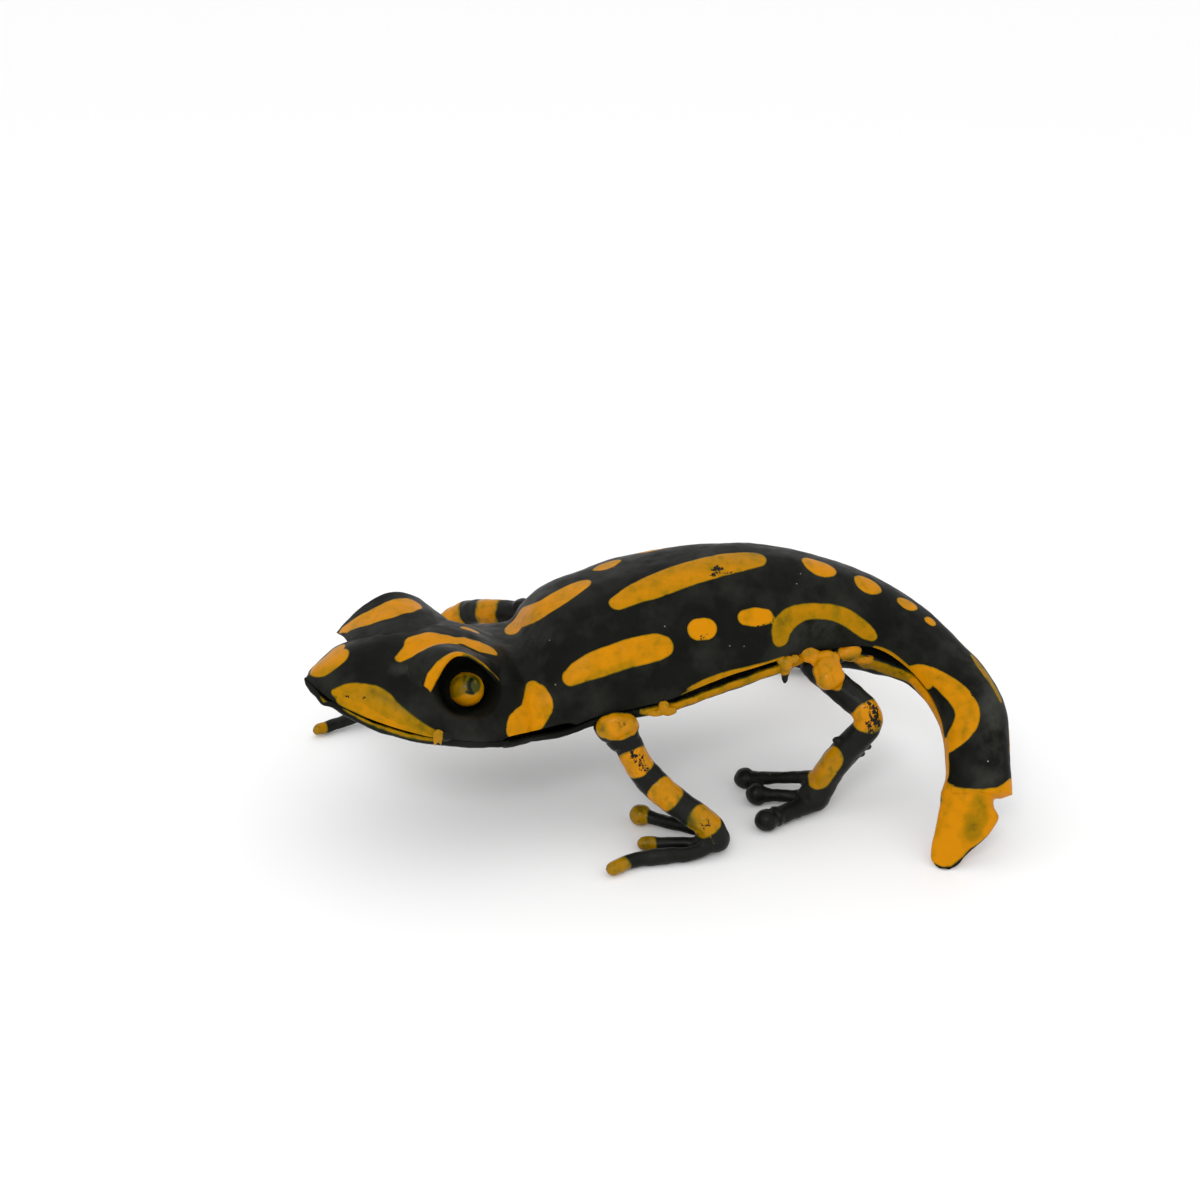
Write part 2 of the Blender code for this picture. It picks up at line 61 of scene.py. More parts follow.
# ---- the body's surface
# Stations from snout to leaf: x, y and z of the middle of the rim, half width, crown height over the
# rim, and the superellipse power of the arch.
STATIONS = (
    ("snout",     (23, -84.5, 51.5), 1.5, 1.5, 1.8),
    ("muzzle",    (21.5, -76, 47), 14.5, 11.5, 1.8),
    ("cheek",     (18, -61, 42), 26.5, 18, 1.8),
    ("brow",      (13.5, -45, 37.5), 30, 19, 1.8),
    ("nape",      (9.5, -31.5, 35), 28, 15, 2),
    ("neck",      (9, -21, 35), 27, 17.5, 2),
    ("shoulder",  (8, -9, 38), 27.5, 24, 2.2),
    ("ribs",      (6.5, 13.5, 40.5), 28, 27.5, 2.2),
    ("back",      (8.5, 37.5, 45.5), 23.5, 25.5, 2.2),
    ("hip",       (11.5, 58.5, 47.5), 18, 20, 2.2),
    ("tail_root", (17.5, 78, 46.5), 12.5, 12.5, 2.2),
    ("tail_bend", (29, 90, 41), 10, 8, 2.2),
    ("tail_mid",  (45, 95.5, 33.5), 9.5, 7.5, 2.2),
    ("tail_low",  (58.5, 93, 23), 8.5, 6.5, 2.2),
    ("leaf",      (64.4, 90.7, 17.4), 9.4, 5.2, 2.2),
)
# Rows of the flat leaf that ends the tail: distance down from the last station, its rear and front
# edges, and the height of the arch between them. The rear edge has a tab and a notch.
LEAF_ROWS = np.array((
    (0, 6.6, 9.6, 5.2), (0.4, 4.6, 9.8, 4.9), (2.6, 4.2, 10.2, 4.6), (5, 5, 10.9, 4.1),
    (8, 3.2, 11.9, 3.4), (10.8, 0.9, 12.9, 2.7), (13.4, -2, 13.8, 2), (15, -4, 14.3, 1.5),
    (17.2, -6.2, 14.8, 1), (18.9, -7.6, 14.9, 0.7), (20.2, -9.2, 14.2, 0.5), (21.1, -10.6, 13, 0.4),
))
LEAF_DOWN = Vector((12.4, 0.0, -17.4)).normalized()
TURN = 0.45  # part of a station over which the sections' direction is averaged
NAMES = [row[0] for row in STATIONS]
TABLE = np.array([(*row[1], *row[2:]) for row in STATIONS], float)


def at(name, offset=0.0):
    """Place along the body, in stations, of a named station plus a part of the way to the next."""
    return NAMES.index(name) + offset


def catmull(table, s):
    """Catmull-Rom interpolation of the rows of a table at the place s."""
    last = len(table) - 1
    i = min(max(int(math.floor(s)), 0), last - 1)
    t = s - i
    p1, p2 = table[i], table[i + 1]
    p0 = table[i - 1] if i > 0 else 2 * p1 - p2
    p3 = table[i + 2] if i + 2 <= last else 2 * p2 - p1
    return 0.5 * (2 * p1 + (p2 - p0) * t + (2 * p0 - 5 * p1 + 4 * p2 - p3) * t ** 2
                  + (3 * p1 - p0 - 3 * p2 + p3) * t ** 3)


def smooth(edge0, edge1, value):
    """Smooth step from 0 at the first edge to 1 at the second."""
    t = min(max((value - edge0) / (edge1 - edge0), 0.0), 1.0)
    return t * t * (3 - 2 * t)


def travelled(points):
    """Distance along a chain of points up to each of them."""
    return np.concatenate([[0], np.cumsum(np.linalg.norm(np.diff(points, axis=0), axis=1))])


def spine(s):
    """Rim centre, left axis, up axis, half width, crown and power at the place s."""
    row = catmull(TABLE, s)
    ahead = catmull(TABLE, min(s + TURN, len(TABLE) - 1))
    behind = catmull(TABLE, max(s - TURN, 0))
    along = Vector(ahead[:3] - behind[:3]).normalized()
    side = along.cross(UP).normalized()
    up = side.cross(along).normalized()
    return Vector(row[:3]), side, up, row[3], row[4], row[5]


def power(value, exponent):
    """Signed power, for superellipses."""
    return math.copysign(abs(value) ** exponent, value)


def section_point(section, angle):
    """Point of an arched section; angle 0 is the crown, +90 degrees the left rim."""
    centre, side, up, half, crown, fullness = section
    across = half * power(math.sin(angle), 2 / fullness)
    above = crown * power(math.cos(angle), 2 / fullness)
    return centre + side * across + up * above


# ---- head, eyes and their sockets
HEAD_YAW = math.radians(18)
HEAD_TIP = Vector((25.0, -84.0, 0.0))
HEAD_BACK = Vector((-math.sin(HEAD_YAW), math.cos(HEAD_YAW), 0))
HEAD_LEFT = Vector((math.cos(HEAD_YAW), math.sin(HEAD_YAW), 0))
SOCKET_INNER, SOCKET_OUTER = 4.8, 10.5  # radii between which a socket's wall rises
SOCKET_FLOOR = 5.0  # depth of its floor under the ball's middle


def on_head(back, left, height):
    """Point of the head from its distance behind the snout, to the left of its axis, and height."""
    return HEAD_TIP + HEAD_BACK * back + HEAD_LEFT * left + UP * height


def eye_centre(side):
    """Middle of the left eye's socket for side 1, or of the right one's for -1."""
    return on_head(37.0, side * 18.0, 48.5)


def eye_axis(side):
    """Direction in which an eye looks: outward, a little forward and up."""
    return (HEAD_LEFT * side * 0.8 - HEAD_BACK * 0.2 + UP * 0.55).normalized()


def socketed(point):
    """Push a point of the head's sheet into the eye socket that it lies over."""
    for side in (1, -1):
        offset = point - eye_centre(side)
        axis = eye_axis(side)
        height = offset.dot(axis)
        radius = (offset - axis * height).length
        if height > -EYE_R and radius < SOCKET_OUTER:
            depth = (height + SOCKET_FLOOR) * (1 - smooth(SOCKET_INNER, SOCKET_OUTER, radius))
            point = point - axis * depth
    return point


def arch(s, degrees):
    """Point of the outer face of the body's sheet."""
    return socketed(section_point(spine(s), math.radians(degrees)))


# ---- mesh helpers
def grid(across, along):
    """Flat grid whose vertices run from 0 to 1 both ways, ready to be bent."""
    bm = bmesh.new()
    bmesh.ops.create_grid(bm, x_segments=across, y_segments=along, size=0.5)
    bmesh.ops.translate(bm, vec=(0.5, 0.5, 0), verts=bm.verts[:])
    return bm


def lofted(sections, around):
    """Grid bent over arched sections, from the right rim to the left one."""
    bm = grid(around, len(sections) - 1)
    for v in bm.verts:
        section = sections[round(v.co.y * (len(sections) - 1))]
        v.co = section_point(section, math.pi * (v.co.x - 0.5))
    return bm


def as_sheet(bm, thickness, rounding=0.0):
    """Give a bent grid a sheet's thickness, on its inner side, and round the cut edges."""
    bmesh.ops.remove_doubles(bm, verts=bm.verts[:], dist=0.01)
    bm.normal_update()
    inward = {v.co.to_tuple(5): -v.normal * thickness for v in bm.verts}
    made = bmesh.ops.extrude_face_region(bm, geom=bm.faces[:], use_keep_orig=True)["geom"]
    for v in made:
        if isinstance(v, bmesh.types.BMVert):
            v.co += inward[v.co.to_tuple(5)]
    bmesh.ops.recalc_face_normals(bm, faces=bm.faces[:])
    if rounding:
        sharp = [e for e in bm.edges if len(e.link_faces) == 2 and e.calc_face_angle(0) > math.radians(60)]
        bmesh.ops.bevel(bm, geom=sharp, offset=rounding, segments=2, profile=0.5, affect="EDGES",
                        material=-1, clamp_overlap=True)


def smoothed(bm, verts, passes):
    """Draw vertices towards their neighbours, a number of times over."""
    for _pass in range(passes):
        bmesh.ops.smooth_vert(bm, verts=verts, factor=0.5, use_axis_x=True, use_axis_y=True,
                              use_axis_z=True)


def swell(bm, centre, radius, push):
    """Move what lies within about a radius of a point by a push, fading out."""
    for v in bm.verts:
        away = (v.co - centre).length_squared / radius ** 2
        if away < 6:
            v.co += Vector(push) * math.exp(-away)


def hammer(bm, coarse, fine, offset=0.0):
    """Slight unevenness of hand-worked steel: broad waves and small dents, in millimetres."""
    bm.normal_update()
    moves = []
    for v in bm.verts:
        place = v.co + Vector((offset, offset, offset))
        moves.append(v.normal * (coarse * noise.noise(place / WAVE) + fine * noise.noise(place / DENT)))
    for v, move in zip(bm.verts, moves):
        v.co += move


def inside(points, strokes):
    """How far each point lies inside the nearest stroke, and the tone of that stroke.

    A stroke is a tone and a chain of (point, half width); its width changes evenly between them.
    """
    best = np.full(len(points), FAR)
    tone = np.zeros(len(points))
    for shade, chain in strokes:
        for (start, r0), (end, r1) in zip(chain, chain[1:]):
            a = np.array(start)
            run = np.array(end) - a
            share = np.clip((points - a) @ run / max(run @ run, 1e-9), 0, 1)
            away = np.linalg.norm(points - a - share[:, None] * run, axis=1)
            depth = r0 + (r1 - r0) * share - away
            tone = np.where(depth > best, shade, tone)
            best = np.maximum(best, depth)
    return best, tone


def soft(points, touches):
    """Sum of soft touches of a brush: each an amount, a chain, and how far its edge fades."""
    total = np.zeros(len(points))
    for amount, chain, fade in touches:
        depth = inside(points, [(0, chain)])[0]
        share = np.clip(0.5 + depth / (2 * fade), 0, 1)
        total += amount * share * share * (3 - 2 * share)
    return total


def placed(marks, point=lambda *place: place):
    """Strokes or touches with the places in their chains turned into points by a function.

    A chain's rows are a place, in as many numbers as the function takes, and a half width. Without a
    function they are points already.
    """
    return [(mark[0], [(tuple(point(*place)), half) for *place, half in mark[1]], *mark[2:])
            for mark in marks]


def rounded(marks, parts=4):
    """Strokes or touches with places added to their chains, on smooth curves through the given ones."""
    made = []
    for mark in marks:
        table = np.array(mark[1], float)
        stops = np.linspace(0, len(table) - 1, (len(table) - 1) * parts + 1)
        made.append((mark[0], [catmull(table, s) for s in stops], *mark[2:]))
    return made


def mesh_of(name, bm):
    """Mesh made from a bmesh, which ends with it."""
    mesh = bpy.data.meshes.new(name)
    bm.to_mesh(mesh)
    bm.free()
    return mesh


def linked(name, data):
    """New object in the scene around a mesh, a light or a camera."""
    obj = bpy.data.objects.new(name, data)
    bpy.context.collection.objects.link(obj)
    return obj


def piece(name, bm, material, nodes, paint=(), bare=(), rough=(), shade=(), dust_and_sheen=()):
    """Finish a piece: mesh, paint attributes, metres, material, and what it rides on and replaces.

    paint and bare are strokes of orange and black, rough are scratched strokes, shade are soft touches
    of olive, and the last are soft touches of grey: dust, and in places painted sheen and glints of light.
    """
    mesh = mesh_of(name, bm)
    points = np.zeros(len(mesh.vertices) * 3)
    mesh.vertices.foreach_get("co", points)
    points = points.reshape(-1, 3)
    mark, tone = inside(points, paint)
    if bare:
        mark = np.minimum(mark, -inside(points, bare)[0])
    layers = {"mark": mark, "tone": np.clip(tone + soft(points, shade), *TONES),
              "dust_and_sheen": soft(points, dust_and_sheen), "scuff": inside(points, rough)[0]}
    for layer, values in layers.items():
        mesh.attributes.new(layer, "FLOAT", "POINT").data.foreach_set("value", values.astype(np.float32))
    mesh.transform(Matrix.Diagonal((MM, MM, MM, 1)) @ Matrix.Translation((-CENTRE[0], -CENTRE[1], 0)))
    mesh.shade_smooth()
    mesh.set_sharp_from_angle(angle=math.radians(50))
    mesh.materials.append(material)
    obj = linked(name, mesh)
    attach(obj, "root")
    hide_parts(*nodes)


# ---- node helpers
def fill(tree, inputs, values):
    """Set or link inputs of a node."""
    for key, value in values.items():
        if isinstance(value, bpy.types.NodeSocket):
            tree.links.new(value, inputs[key])
        else:
            inputs[key].default_value = value


def put(tree, kind, values, **settings):
    """New shader node with its settings and its inputs."""
    made = tree.nodes.new("ShaderNode" + kind)
    for key, value in settings.items():
        setattr(made, key, value)
    fill(tree, made.inputs, values)
    return made


def calc(tree, operation, first, second, clamp=False):
    """Result of a Math node."""
    made = put(tree, "Math", {0: first, 1: second}, operation=operation, use_clamp=clamp)
    return made.outputs[0]


def ramp(tree, value, low, high, start=0.0, end=1.0):
    """Value moved evenly from low..high to start..end, and held at both ends."""
    return put(tree, "MapRange", {"Value": value, "From Min": low, "From Max": high, "To Min": start,
                                  "To Max": end}).outputs["Result"]


def mix(tree, factor, first, second):
    """Colour between two colours; the numbers are the Mix node's sockets for colours."""
    return put(tree, "Mix", {0: factor, 6: first, 7: second}, data_type="RGBA").outputs[2]


def grain(tree, size, detail=2.0, roughness=0.5):
    """Noise over the object's own coordinates, with features of about the size in millimetres."""
    place = put(tree, "TexCoord", {}).outputs["Object"]
    return put(tree, "TexNoise", {"Vector": place, "Scale": 1 / (size * MM), "Detail": detail,
                                  "Roughness": roughness}).outputs["Fac"]


def colour(red, green, blue):
    """Linear colour of an sRGB one given from 0 to 255."""
    parts = [c / 255 for c in (red, green, blue)]
    return tuple(c / 12.92 if c <= 0.04045 else ((c + 0.055) / 1.055) ** 2.4 for c in parts) + (1.0,)


def sockets(tree, inputs, outputs):
    """Named sockets of a node group, each with its type and, for inputs, a default."""
    for name, kind, default in inputs:
        socket = tree.interface.new_socket(name=name, in_out="INPUT", socket_type="NodeSocket" + kind)
        socket.default_value = default
    for name, kind in outputs:
        tree.interface.new_socket(name=name, in_out="OUTPUT", socket_type="NodeSocket" + kind)
    return tree.nodes.new("NodeGroupInput").outputs, tree.nodes.new("NodeGroupOutput").inputs


# ---- shader groups
ORANGE = colour(195, 125, 0)
OLIVE = colour(141, 105, 0)
MOSS = colour(54, 57, 8)
BLACK = colour(13, 14, 10)
GREY_BLACK = colour(21, 22, 18)
DUST_AND_SHEEN_GREY = colour(72, 72, 67)
# grey of dust; it also stands for painted sheen and glints of light on the black
SPECK = colour(140, 138, 128)
PAINT_HEIGHT = 0.07  # how far a marking's coat stands up, in millimetres


def brushed_marking():
    """Orange marking brushed over black enamel, from the depth inside its outline.

    The outline wobbles a little, the coat is thin and dark along it, and it stands up as an edge. The
    tone runs from orange at 0 over olive at 1 to moss at 2.
    """
    tree = bpy.data.node_groups.new("brushed marking", "ShaderNodeTree")
    inputs = [("Depth", "Float", 0.0), ("Tone", "Float", 0.0), ("Scuff", "Float", FAR),
              ("Wobble", "Float", 0.5)]
    outputs = [("Cover", "Float"), ("Color", "Color"), ("Height", "Float")]
    given, result = sockets(tree, inputs, outputs)
    wave = calc(tree, "SUBTRACT", grain(tree, 5.0, 1.0), 0.5)
    ripple = calc(tree, "MULTIPLY", calc(tree, "SUBTRACT", grain(tree, 1.1, 2.0), 0.5), 0.35)
    wobble = calc(tree, "MULTIPLY", calc(tree, "ADD", wave, ripple), given["Wobble"])
    depth = calc(tree, "ADD", given["Depth"], wobble)
    flakes = ramp(tree, grain(tree, 1.0, 3.0, 0.7), 0.35, 0.65, -1.6, 0.7)
    kept = ramp(tree, calc(tree, "ADD", given["Scuff"], flakes), 0.0, 0.12, 1.0, 0.0)
    cover = calc(tree, "MULTIPLY", ramp(tree, depth, -0.05, 0.05), kept)
    thin = ramp(tree, depth, 0.0, 0.45, 1.3, 0.0)
    streaks = ramp(tree, grain(tree, 6.0, 4.0, 0.6), 0.35, 0.75, -0.2, 0.45)
    blots = ramp(tree, grain(tree, 2.4, 3.0), 0.5, 0.68, 0.0, 0.7)
    mottle = calc(tree, "MULTIPLY", blots, given["Wobble"])
    shade = calc(tree, "ADD", calc(tree, "ADD", given["Tone"], thin), calc(tree, "ADD", streaks, mottle))
    bright = mix(tree, calc(tree, "MULTIPLY", shade, 1.0, clamp=True), ORANGE, OLIVE)
    fill(tree, result, {"Cover": cover, "Color": mix(tree, ramp(tree, shade, 1.0, 2.0), bright, MOSS),
                        "Height": calc(tree, "MULTIPLY", ramp(tree, depth, -0.1, 0.25), kept)})
    return tree


def dust_and_sheen_film():
    """Grey laid on paint, in patches and a few small specks: thin dust, and where the touches call for it,
    painted sheen and glints.
    """
    tree = bpy.data.node_groups.new("dust and painted sheen", "ShaderNodeTree")
    given, result = sockets(tree, [("Color", "Color", BLACK), ("Amount", "Float", 0.5)],
                            [("Color", "Color")])
    patches = ramp(tree, grain(tree, 14.0, 5.0, 0.6), 0.45, 0.8, 0.0, 0.5)
    dust_and_sheen = calc(tree, "MULTIPLY", patches, given["Amount"])
    place = put(tree, "TexCoord", {}).outputs["Object"]
    cells = put(tree, "TexVoronoi", {"Vector": place, "Scale": 1 / (3.2 * MM)})
    draw = put(tree, "SeparateColor", {0: cells.outputs["Color"]}).outputs[0]
    dots = ramp(tree, cells.outputs["Distance"], 0.05, 0.08, 1.0, 0.0)
    few = calc(tree, "MULTIPLY", dots, ramp(tree, draw, 0.86, 0.9))
    speck = calc(tree, "MULTIPLY", few, given["Amount"])
    dust_and_sheen_colour = mix(tree, dust_and_sheen, given["Color"], DUST_AND_SHEEN_GREY)
    fill(tree, result, {"Color": mix(tree, speck, dust_and_sheen_colour, SPECK)})
    return tree


def enamel(name, groups, gloss, lumps, wobble, dust, shine=0.05, wet=0.06):
    """Painted steel: black enamel with brushed markings, laid over slightly lumpy metal.

    gloss is the coat's roughness, wet how much smoother the markings are, shine its specular level, and
    lumps the height of its unevenness in millimetres.
    """
    marking_group, dust_and_sheen_group = groups
    material = bpy.data.materials.new(name)
    material.use_nodes = True
    tree = material.node_tree
    shader = tree.nodes["Principled BSDF"]
    mark, tone, scuff, dust_and_sheen = (put(tree, "Attribute", {}, attribute_name=layer).outputs["Fac"]
                               for layer in ("mark", "tone", "scuff", "dust_and_sheen"))
    marking = put(tree, "Group", {"Depth": mark, "Tone": tone, "Scuff": scuff, "Wobble": wobble},
                  node_tree=marking_group).outputs
    cloud = ramp(tree, grain(tree, 9.0, 4.0, 0.55), 0.35, 0.75)
    black = mix(tree, cloud, BLACK, GREY_BLACK)
    # the black gets its grey layer here: dust, and where the touches call for it, painted sheen and glints
    black_with_dust_and_sheen = put(tree, "Group", {"Color": black, "Amount": calc(tree, "ADD", dust_and_sheen, dust)},
                 node_tree=dust_and_sheen_group).outputs["Color"]
    patchy = ramp(tree, grain(tree, 4.0, 3.0), 0.3, 0.7, gloss - 0.06, gloss + 0.1)
    uneven = calc(tree, "MULTIPLY", grain(tree, 1.4, 4.0, 0.55), lumps)
    edge = calc(tree, "MULTIPLY", marking["Height"], PAINT_HEIGHT)
    bump = put(tree, "Bump", {"Height": calc(tree, "ADD", uneven, edge), "Distance": MM, "Strength": 1.0})
    fill(tree, shader.inputs, {
        "Base Color": mix(tree, marking["Cover"], black_with_dust_and_sheen, marking["Color"]),
        "Roughness": calc(tree, "SUBTRACT", patchy, calc(tree, "MULTIPLY", marking["Cover"], wet)),
        "Specular IOR Level": shine,
        "Normal": bump.outputs["Normal"],
    })
    return material


# ---- the body
STEP = 0.75  # spacing of the skin's sections
AROUND = 104  # its faces from rim to rim
MEASURED = 1401  # places between which the body's length is measured
NOSE_ROUNDING = 0.25  # length of the rounded tip of the snout, in stations
LEAF_SECTIONS, LEAF_FULLNESS = 55, 2.2  # the leaf's sections, and the power of their arch
# Hollow hammered into the right of the muzzle: place on the head, radius and push.
HOLLOW = ((22, -11, 56), 6, (0, 0, -2.6))
# Bend at the left of the neck that is worked smooth: its place, how far the smoothing reaches, and how
# often it is gone over.
NECK_BEND, NECK_REACH, NECK_PASSES = (4.4, 75), 11.0, 60


def body_sections():
    """Arched sections close together from the snout down to the end of the leaf."""
    places = np.linspace(0, len(STATIONS) - 1, MEASURED)
    run = travelled([catmull(TABLE, s)[:3] for s in places])
    sections = []
    for distance in np.linspace(0, run[-1], int(run[-1] / STEP) + 1):
        s = float(np.interp(distance, run, places))
        centre, side, up, half, crown, fullness = spine(s)
        blunt = math.sqrt(min(s / NOSE_ROUNDING, 1.0))
        sections.append((centre, side, up, half * blunt, crown * blunt, fullness))
    centre, side, up = sections[-1][:3]
    del sections[-2:]  # so that the tab's corner is cut off
    for r in np.linspace(0, len(LEAF_ROWS) - 1, LEAF_SECTIONS)[1:]:
        down, rear, front, bulge = catmull(LEAF_ROWS, r)
        middle = centre + LEAF_DOWN * down + side * (front - rear) / 2
        sections.append((middle, side, up, (front + rear) / 2, bulge, LEAF_FULLNESS))
    return sections


def body_skin():
    """One sheet from snout to leaf."""
    bm = lofted(body_sections(), AROUND)
    for v in bm.verts:
        v.co = socketed(v.co)
    place, radius, push = HOLLOW
    swell(bm, on_head(*place), radius, push)
    neck = arch(*NECK_BEND)
    smoothed(bm, [v for v in bm.verts if (v.co - neck).length < NECK_REACH], NECK_PASSES)
    hammer(bm, 0.35, 0.10)
    return bm


# Markings on the body: a tone from orange 0 to olive 1, and a chain of (place along the body,
# degrees from the crown to the left rim, half width in millimetres).
LEFT_MARKS = (
    (0.15, ((4.8, -13, 3.8), (5, -17, 4.2), (5.25, -13, 3.6), (5.59, -1, 3.9), (5.89, 1, 4.1),
            (6.1, 0, 4), (6.26, -1, 3.1))),
    (0.3, ((6.55, -13, 1.6), (6.65, -13, 3), (6.77, -14, 2))),
    (0.3, ((7.2, -24, 2), (7.32, -24, 2.6), (7.45, -25, 1.6))),
    (0.35, ((6.56, 24, 2.8), (6.77, 22, 3.7), (7.13, 21, 4.5), (7.55, 18, 4.9), (7.91, 15, 4.7),
            (8.16, 12, 4.4), (8.31, 10, 3.7))),
    (0, ((9.01, 6, 2.8), (9.1, 10, 4), (9.2, 11, 2.8))),
    (0.1, ((9.63, 10, 2.4), (9.7, 12, 3.7), (9.79, 12, 2.5))),
    (0.1, ((10.2, 7, 1.7), (10.27, 3, 2.5), (10.34, -2, 1.8))),
    (0, ((10.63, -1, 1.2), (10.67, -5, 1.7), (10.7, -8, 1))),
    (0.2, ((5.66, 58, 2.5), (5.93, 58, 3.5), (6.24, 58, 3.9), (6.56, 58, 4), (6.85, 59, 3.8),
           (6.97, 60, 3.2))),
    (-0.3, ((7.52, 58, 3), (7.61, 59, 3))),
    (0, ((8.06, 58, 2.1), (8.18, 59, 2.6), (8.31, 60, 2.1))),
    (0.7, ((8.47, 76, 2.7), (8.51, 69, 3.2), (8.65, 63, 3.1), (8.85, 59, 2.5), (9.07, 58, 2.3),
           (9.33, 59, 2.5), (9.57, 66, 2.5), (9.8, 74, 2.2), (9.93, 78, 1.5))),
    (0.1, ((11.03, 84, 1.2), (11.2, 72, 1.9), (11.51, 55, 2.5), (11.81, 40, 3.1), (12.13, 26, 3.4),
           (12.33, 25, 3.4), (12.51, 39, 3.3), (12.63, 62, 2.8), (12.7, 80, 1.5))),
    (0.9, ((11.4, -32, 0.9), (11.6, -30, 1.5), (11.85, -34, 1.3), (12.1, -40, 0.9))),
    (0.3, ((0.07, 2, 1), (0.3, -22, 3), (0.72, -26, 3.6))),
    (0.2, ((0.1, 20, 0.8), (0.35, 12, 3), (0.66, 2, 3.6))),
    (0.8, ((0.59, 72, 1), (0.81, 65, 2.3), (1.07, 64, 3.3), (1.29, 68, 3.9), (1.47, 75, 3.5),
           (1.65, 79, 2.6), (1.87, 83, 1.7), (2.05, 86, 1.2))),
    (0.5, ((0.75, 78, 1.6), (1.1, 78, 2.2), (1.5, 84, 2), (2, 88, 1.2))),
    (0.1, ((4.45, 51, 1.8), (4.47, 64, 4), (3.53, 75, 4.2), (3.27, 80, 2.2))),
    (0.1, ((4.8, 54, 2.4), (4.83, 65, 2.8), (4.55, 77, 2.4))),
    (0.1, ((4.6, 47, 1.8), (4.65, 56, 3.2), (4.6, 70, 3.4), (4.1, 79, 2.6))),
    (0.2, ((3.05, -4, 0.9), (3.2, -4, 1.8), (3.34, -3, 1.4))),
    (0.4, ((7.12, 90, 0.3), (7.3, 89, 1), (7.6, 89, 1.4), (7.9, 90, 1.3), (8.2, 90, 0.9),
           (8.5, 90, 0.8))),
    (0.3, ((10.05, 90, 0.8), (10.5, 90, 1.1), (10.95, 90, 0.9))),
    (0, ((12.6, 86, 1.7), (13.1, 86, 1.8), (13.6, 87, 2))),
    (0.1, ((11, 88, 1.3), (11.25, 84, 2), (11.4, 78, 2.2))),
)
# Stripe along the head's middle, which runs on over the left hood's roof: tone and chain of (behind the
# snout, to the left, height, half width).
BROW_STRIPE = (
    (0, ((22.2, 10.3, 57.4, 1.3), (25.3, 9.3, 58, 2.3), (29, 7.4, 58.5, 3.9), (33.5, 6.8, 58.3, 4.2),
           (37.1, 7.4, 57.5, 2.9), (40.2, 7.5, 56.8, 1.5))),
    (0.1, ((40.2, 7.3, 56.8, 1.3), (42.6, 7.8, 55.8, 2.1), (45.7, 9.5, 54.3, 2.7),
           (48.5, 10.5, 52.7, 2.2))),
)
RIGHT_MARKS = (
    (0.3, ((5.9, -46, 2.4), (6.3, -48, 3.6), (6.9, -47, 4), (7.4, -46, 3.2))),
    (0.2, ((7.85, -50, 2.8), (8, -50, 3))),
    (0.3, ((8.45, -44, 2.4), (8.75, -40, 2.9), (9.05, -38, 2.2))),
    (0.2, ((9.5, -42, 2.2), (9.62, -42, 2.4))),
    (0.3, ((5.2, -70, 2), (5.6, -74, 3), (6.1, -76, 3), (6.5, -75, 2.2))),
    (0.1, ((7.05, -77, 2.4), (7.2, -77, 2.4))),
    (0.6, ((8.4, -80, 2.2), (8.5, -70, 2.8), (8.8, -63, 2.6), (9.2, -62, 2.4), (9.6, -70, 2.2),
           (9.8, -80, 1.4))),
    (0.4, ((10.3, -72, 1.8), (10.8, -62, 2.4), (11.3, -60, 2.4), (11.8, -68, 1.6))),
    (0.2, ((12.3, -80, 1.2), (12.7, -78, 1.3))),
    (0.4, ((0.7, -76, 1.2), (1.1, -68, 3.2), (1.5, -74, 3.4), (1.95, -84, 1.4))),
    (0.1, ((4.4, -52, 2), (4.4, -66, 3.8), (3.7, -76, 3.6), (3.3, -82, 1.8))),
    (0.3, ((7.1, -90, 0.5), (7.6, -90, 1.1), (8.4, -90, 0.9))),
)
# Orange end of the leaf: tone and chain of (down from the last station, towards its front edge, half
# width). Its shades also have how far they fade, and its worn edge is black.
LEAF_PAINT = ((0, ((8, 8, 6), (16, 8, 7), (22, 10, 8))),
              (0, ((6, -1, 5.5), (13, 4, 6), (22, 10, 8))))
LEAF_SHADE = ((0.8, ((2.6, 0, 2), (7, 1.2, 3.2), (11, 3, 2.4)), 1.1),
              (-0.3, ((13, 10, 2), (20, 13, 2)), 2),
              (0.5, ((3.5, 8, 0.6), (12, 12.5, 0.5)), 1.4))
LEAF_WEAR = ((0, ((11, -0.9, 0.3), (13.4, 1.8, 0.7), (15, 3.8, 0.9), (17.2, 6.1, 0.6), (18.9, 7.5, 0.9),
                  (20.6, 9.8, 0.6), (21.3, 12.5, 0.5), (20.2, 14.2, 0.3))),)
# Its upper border: tone and chain of (x, y, z, half width).
LEAF_TOP = (
    (0, ((61.3, 83, 18.4, 2.6), (66, 84.5, 17.6, 3.9), (69.5, 89.5, 18, 4.1),
           (69.5, 95, 18.4, 4.1), (67.5, 99.5, 19.8, 3.6))),
)


# Scratches through the markings to black: two ends, each a place along the body, degrees and half width.
SCRATCHES = (
    (7.84, 23, 0.9, 7.9, 19, 1.3),
    (7.95, 24, 0.5, 8, 23, 0.7),
    (1.12, 66, 0.3, 1.13, 67, 0.35),
    (0.84, 72, 0.25, 0.85, 72, 0.3),
    (5.9, 66, 0.3, 6, 65, 0.35),
    (7.5, 62, 0.4, 7.58, 64, 0.5),
    (11.95, 8, 0.4, 12, 10, 0.6),
    (8.2, 66, 0.2, 8.25, 64, 0.3),
)
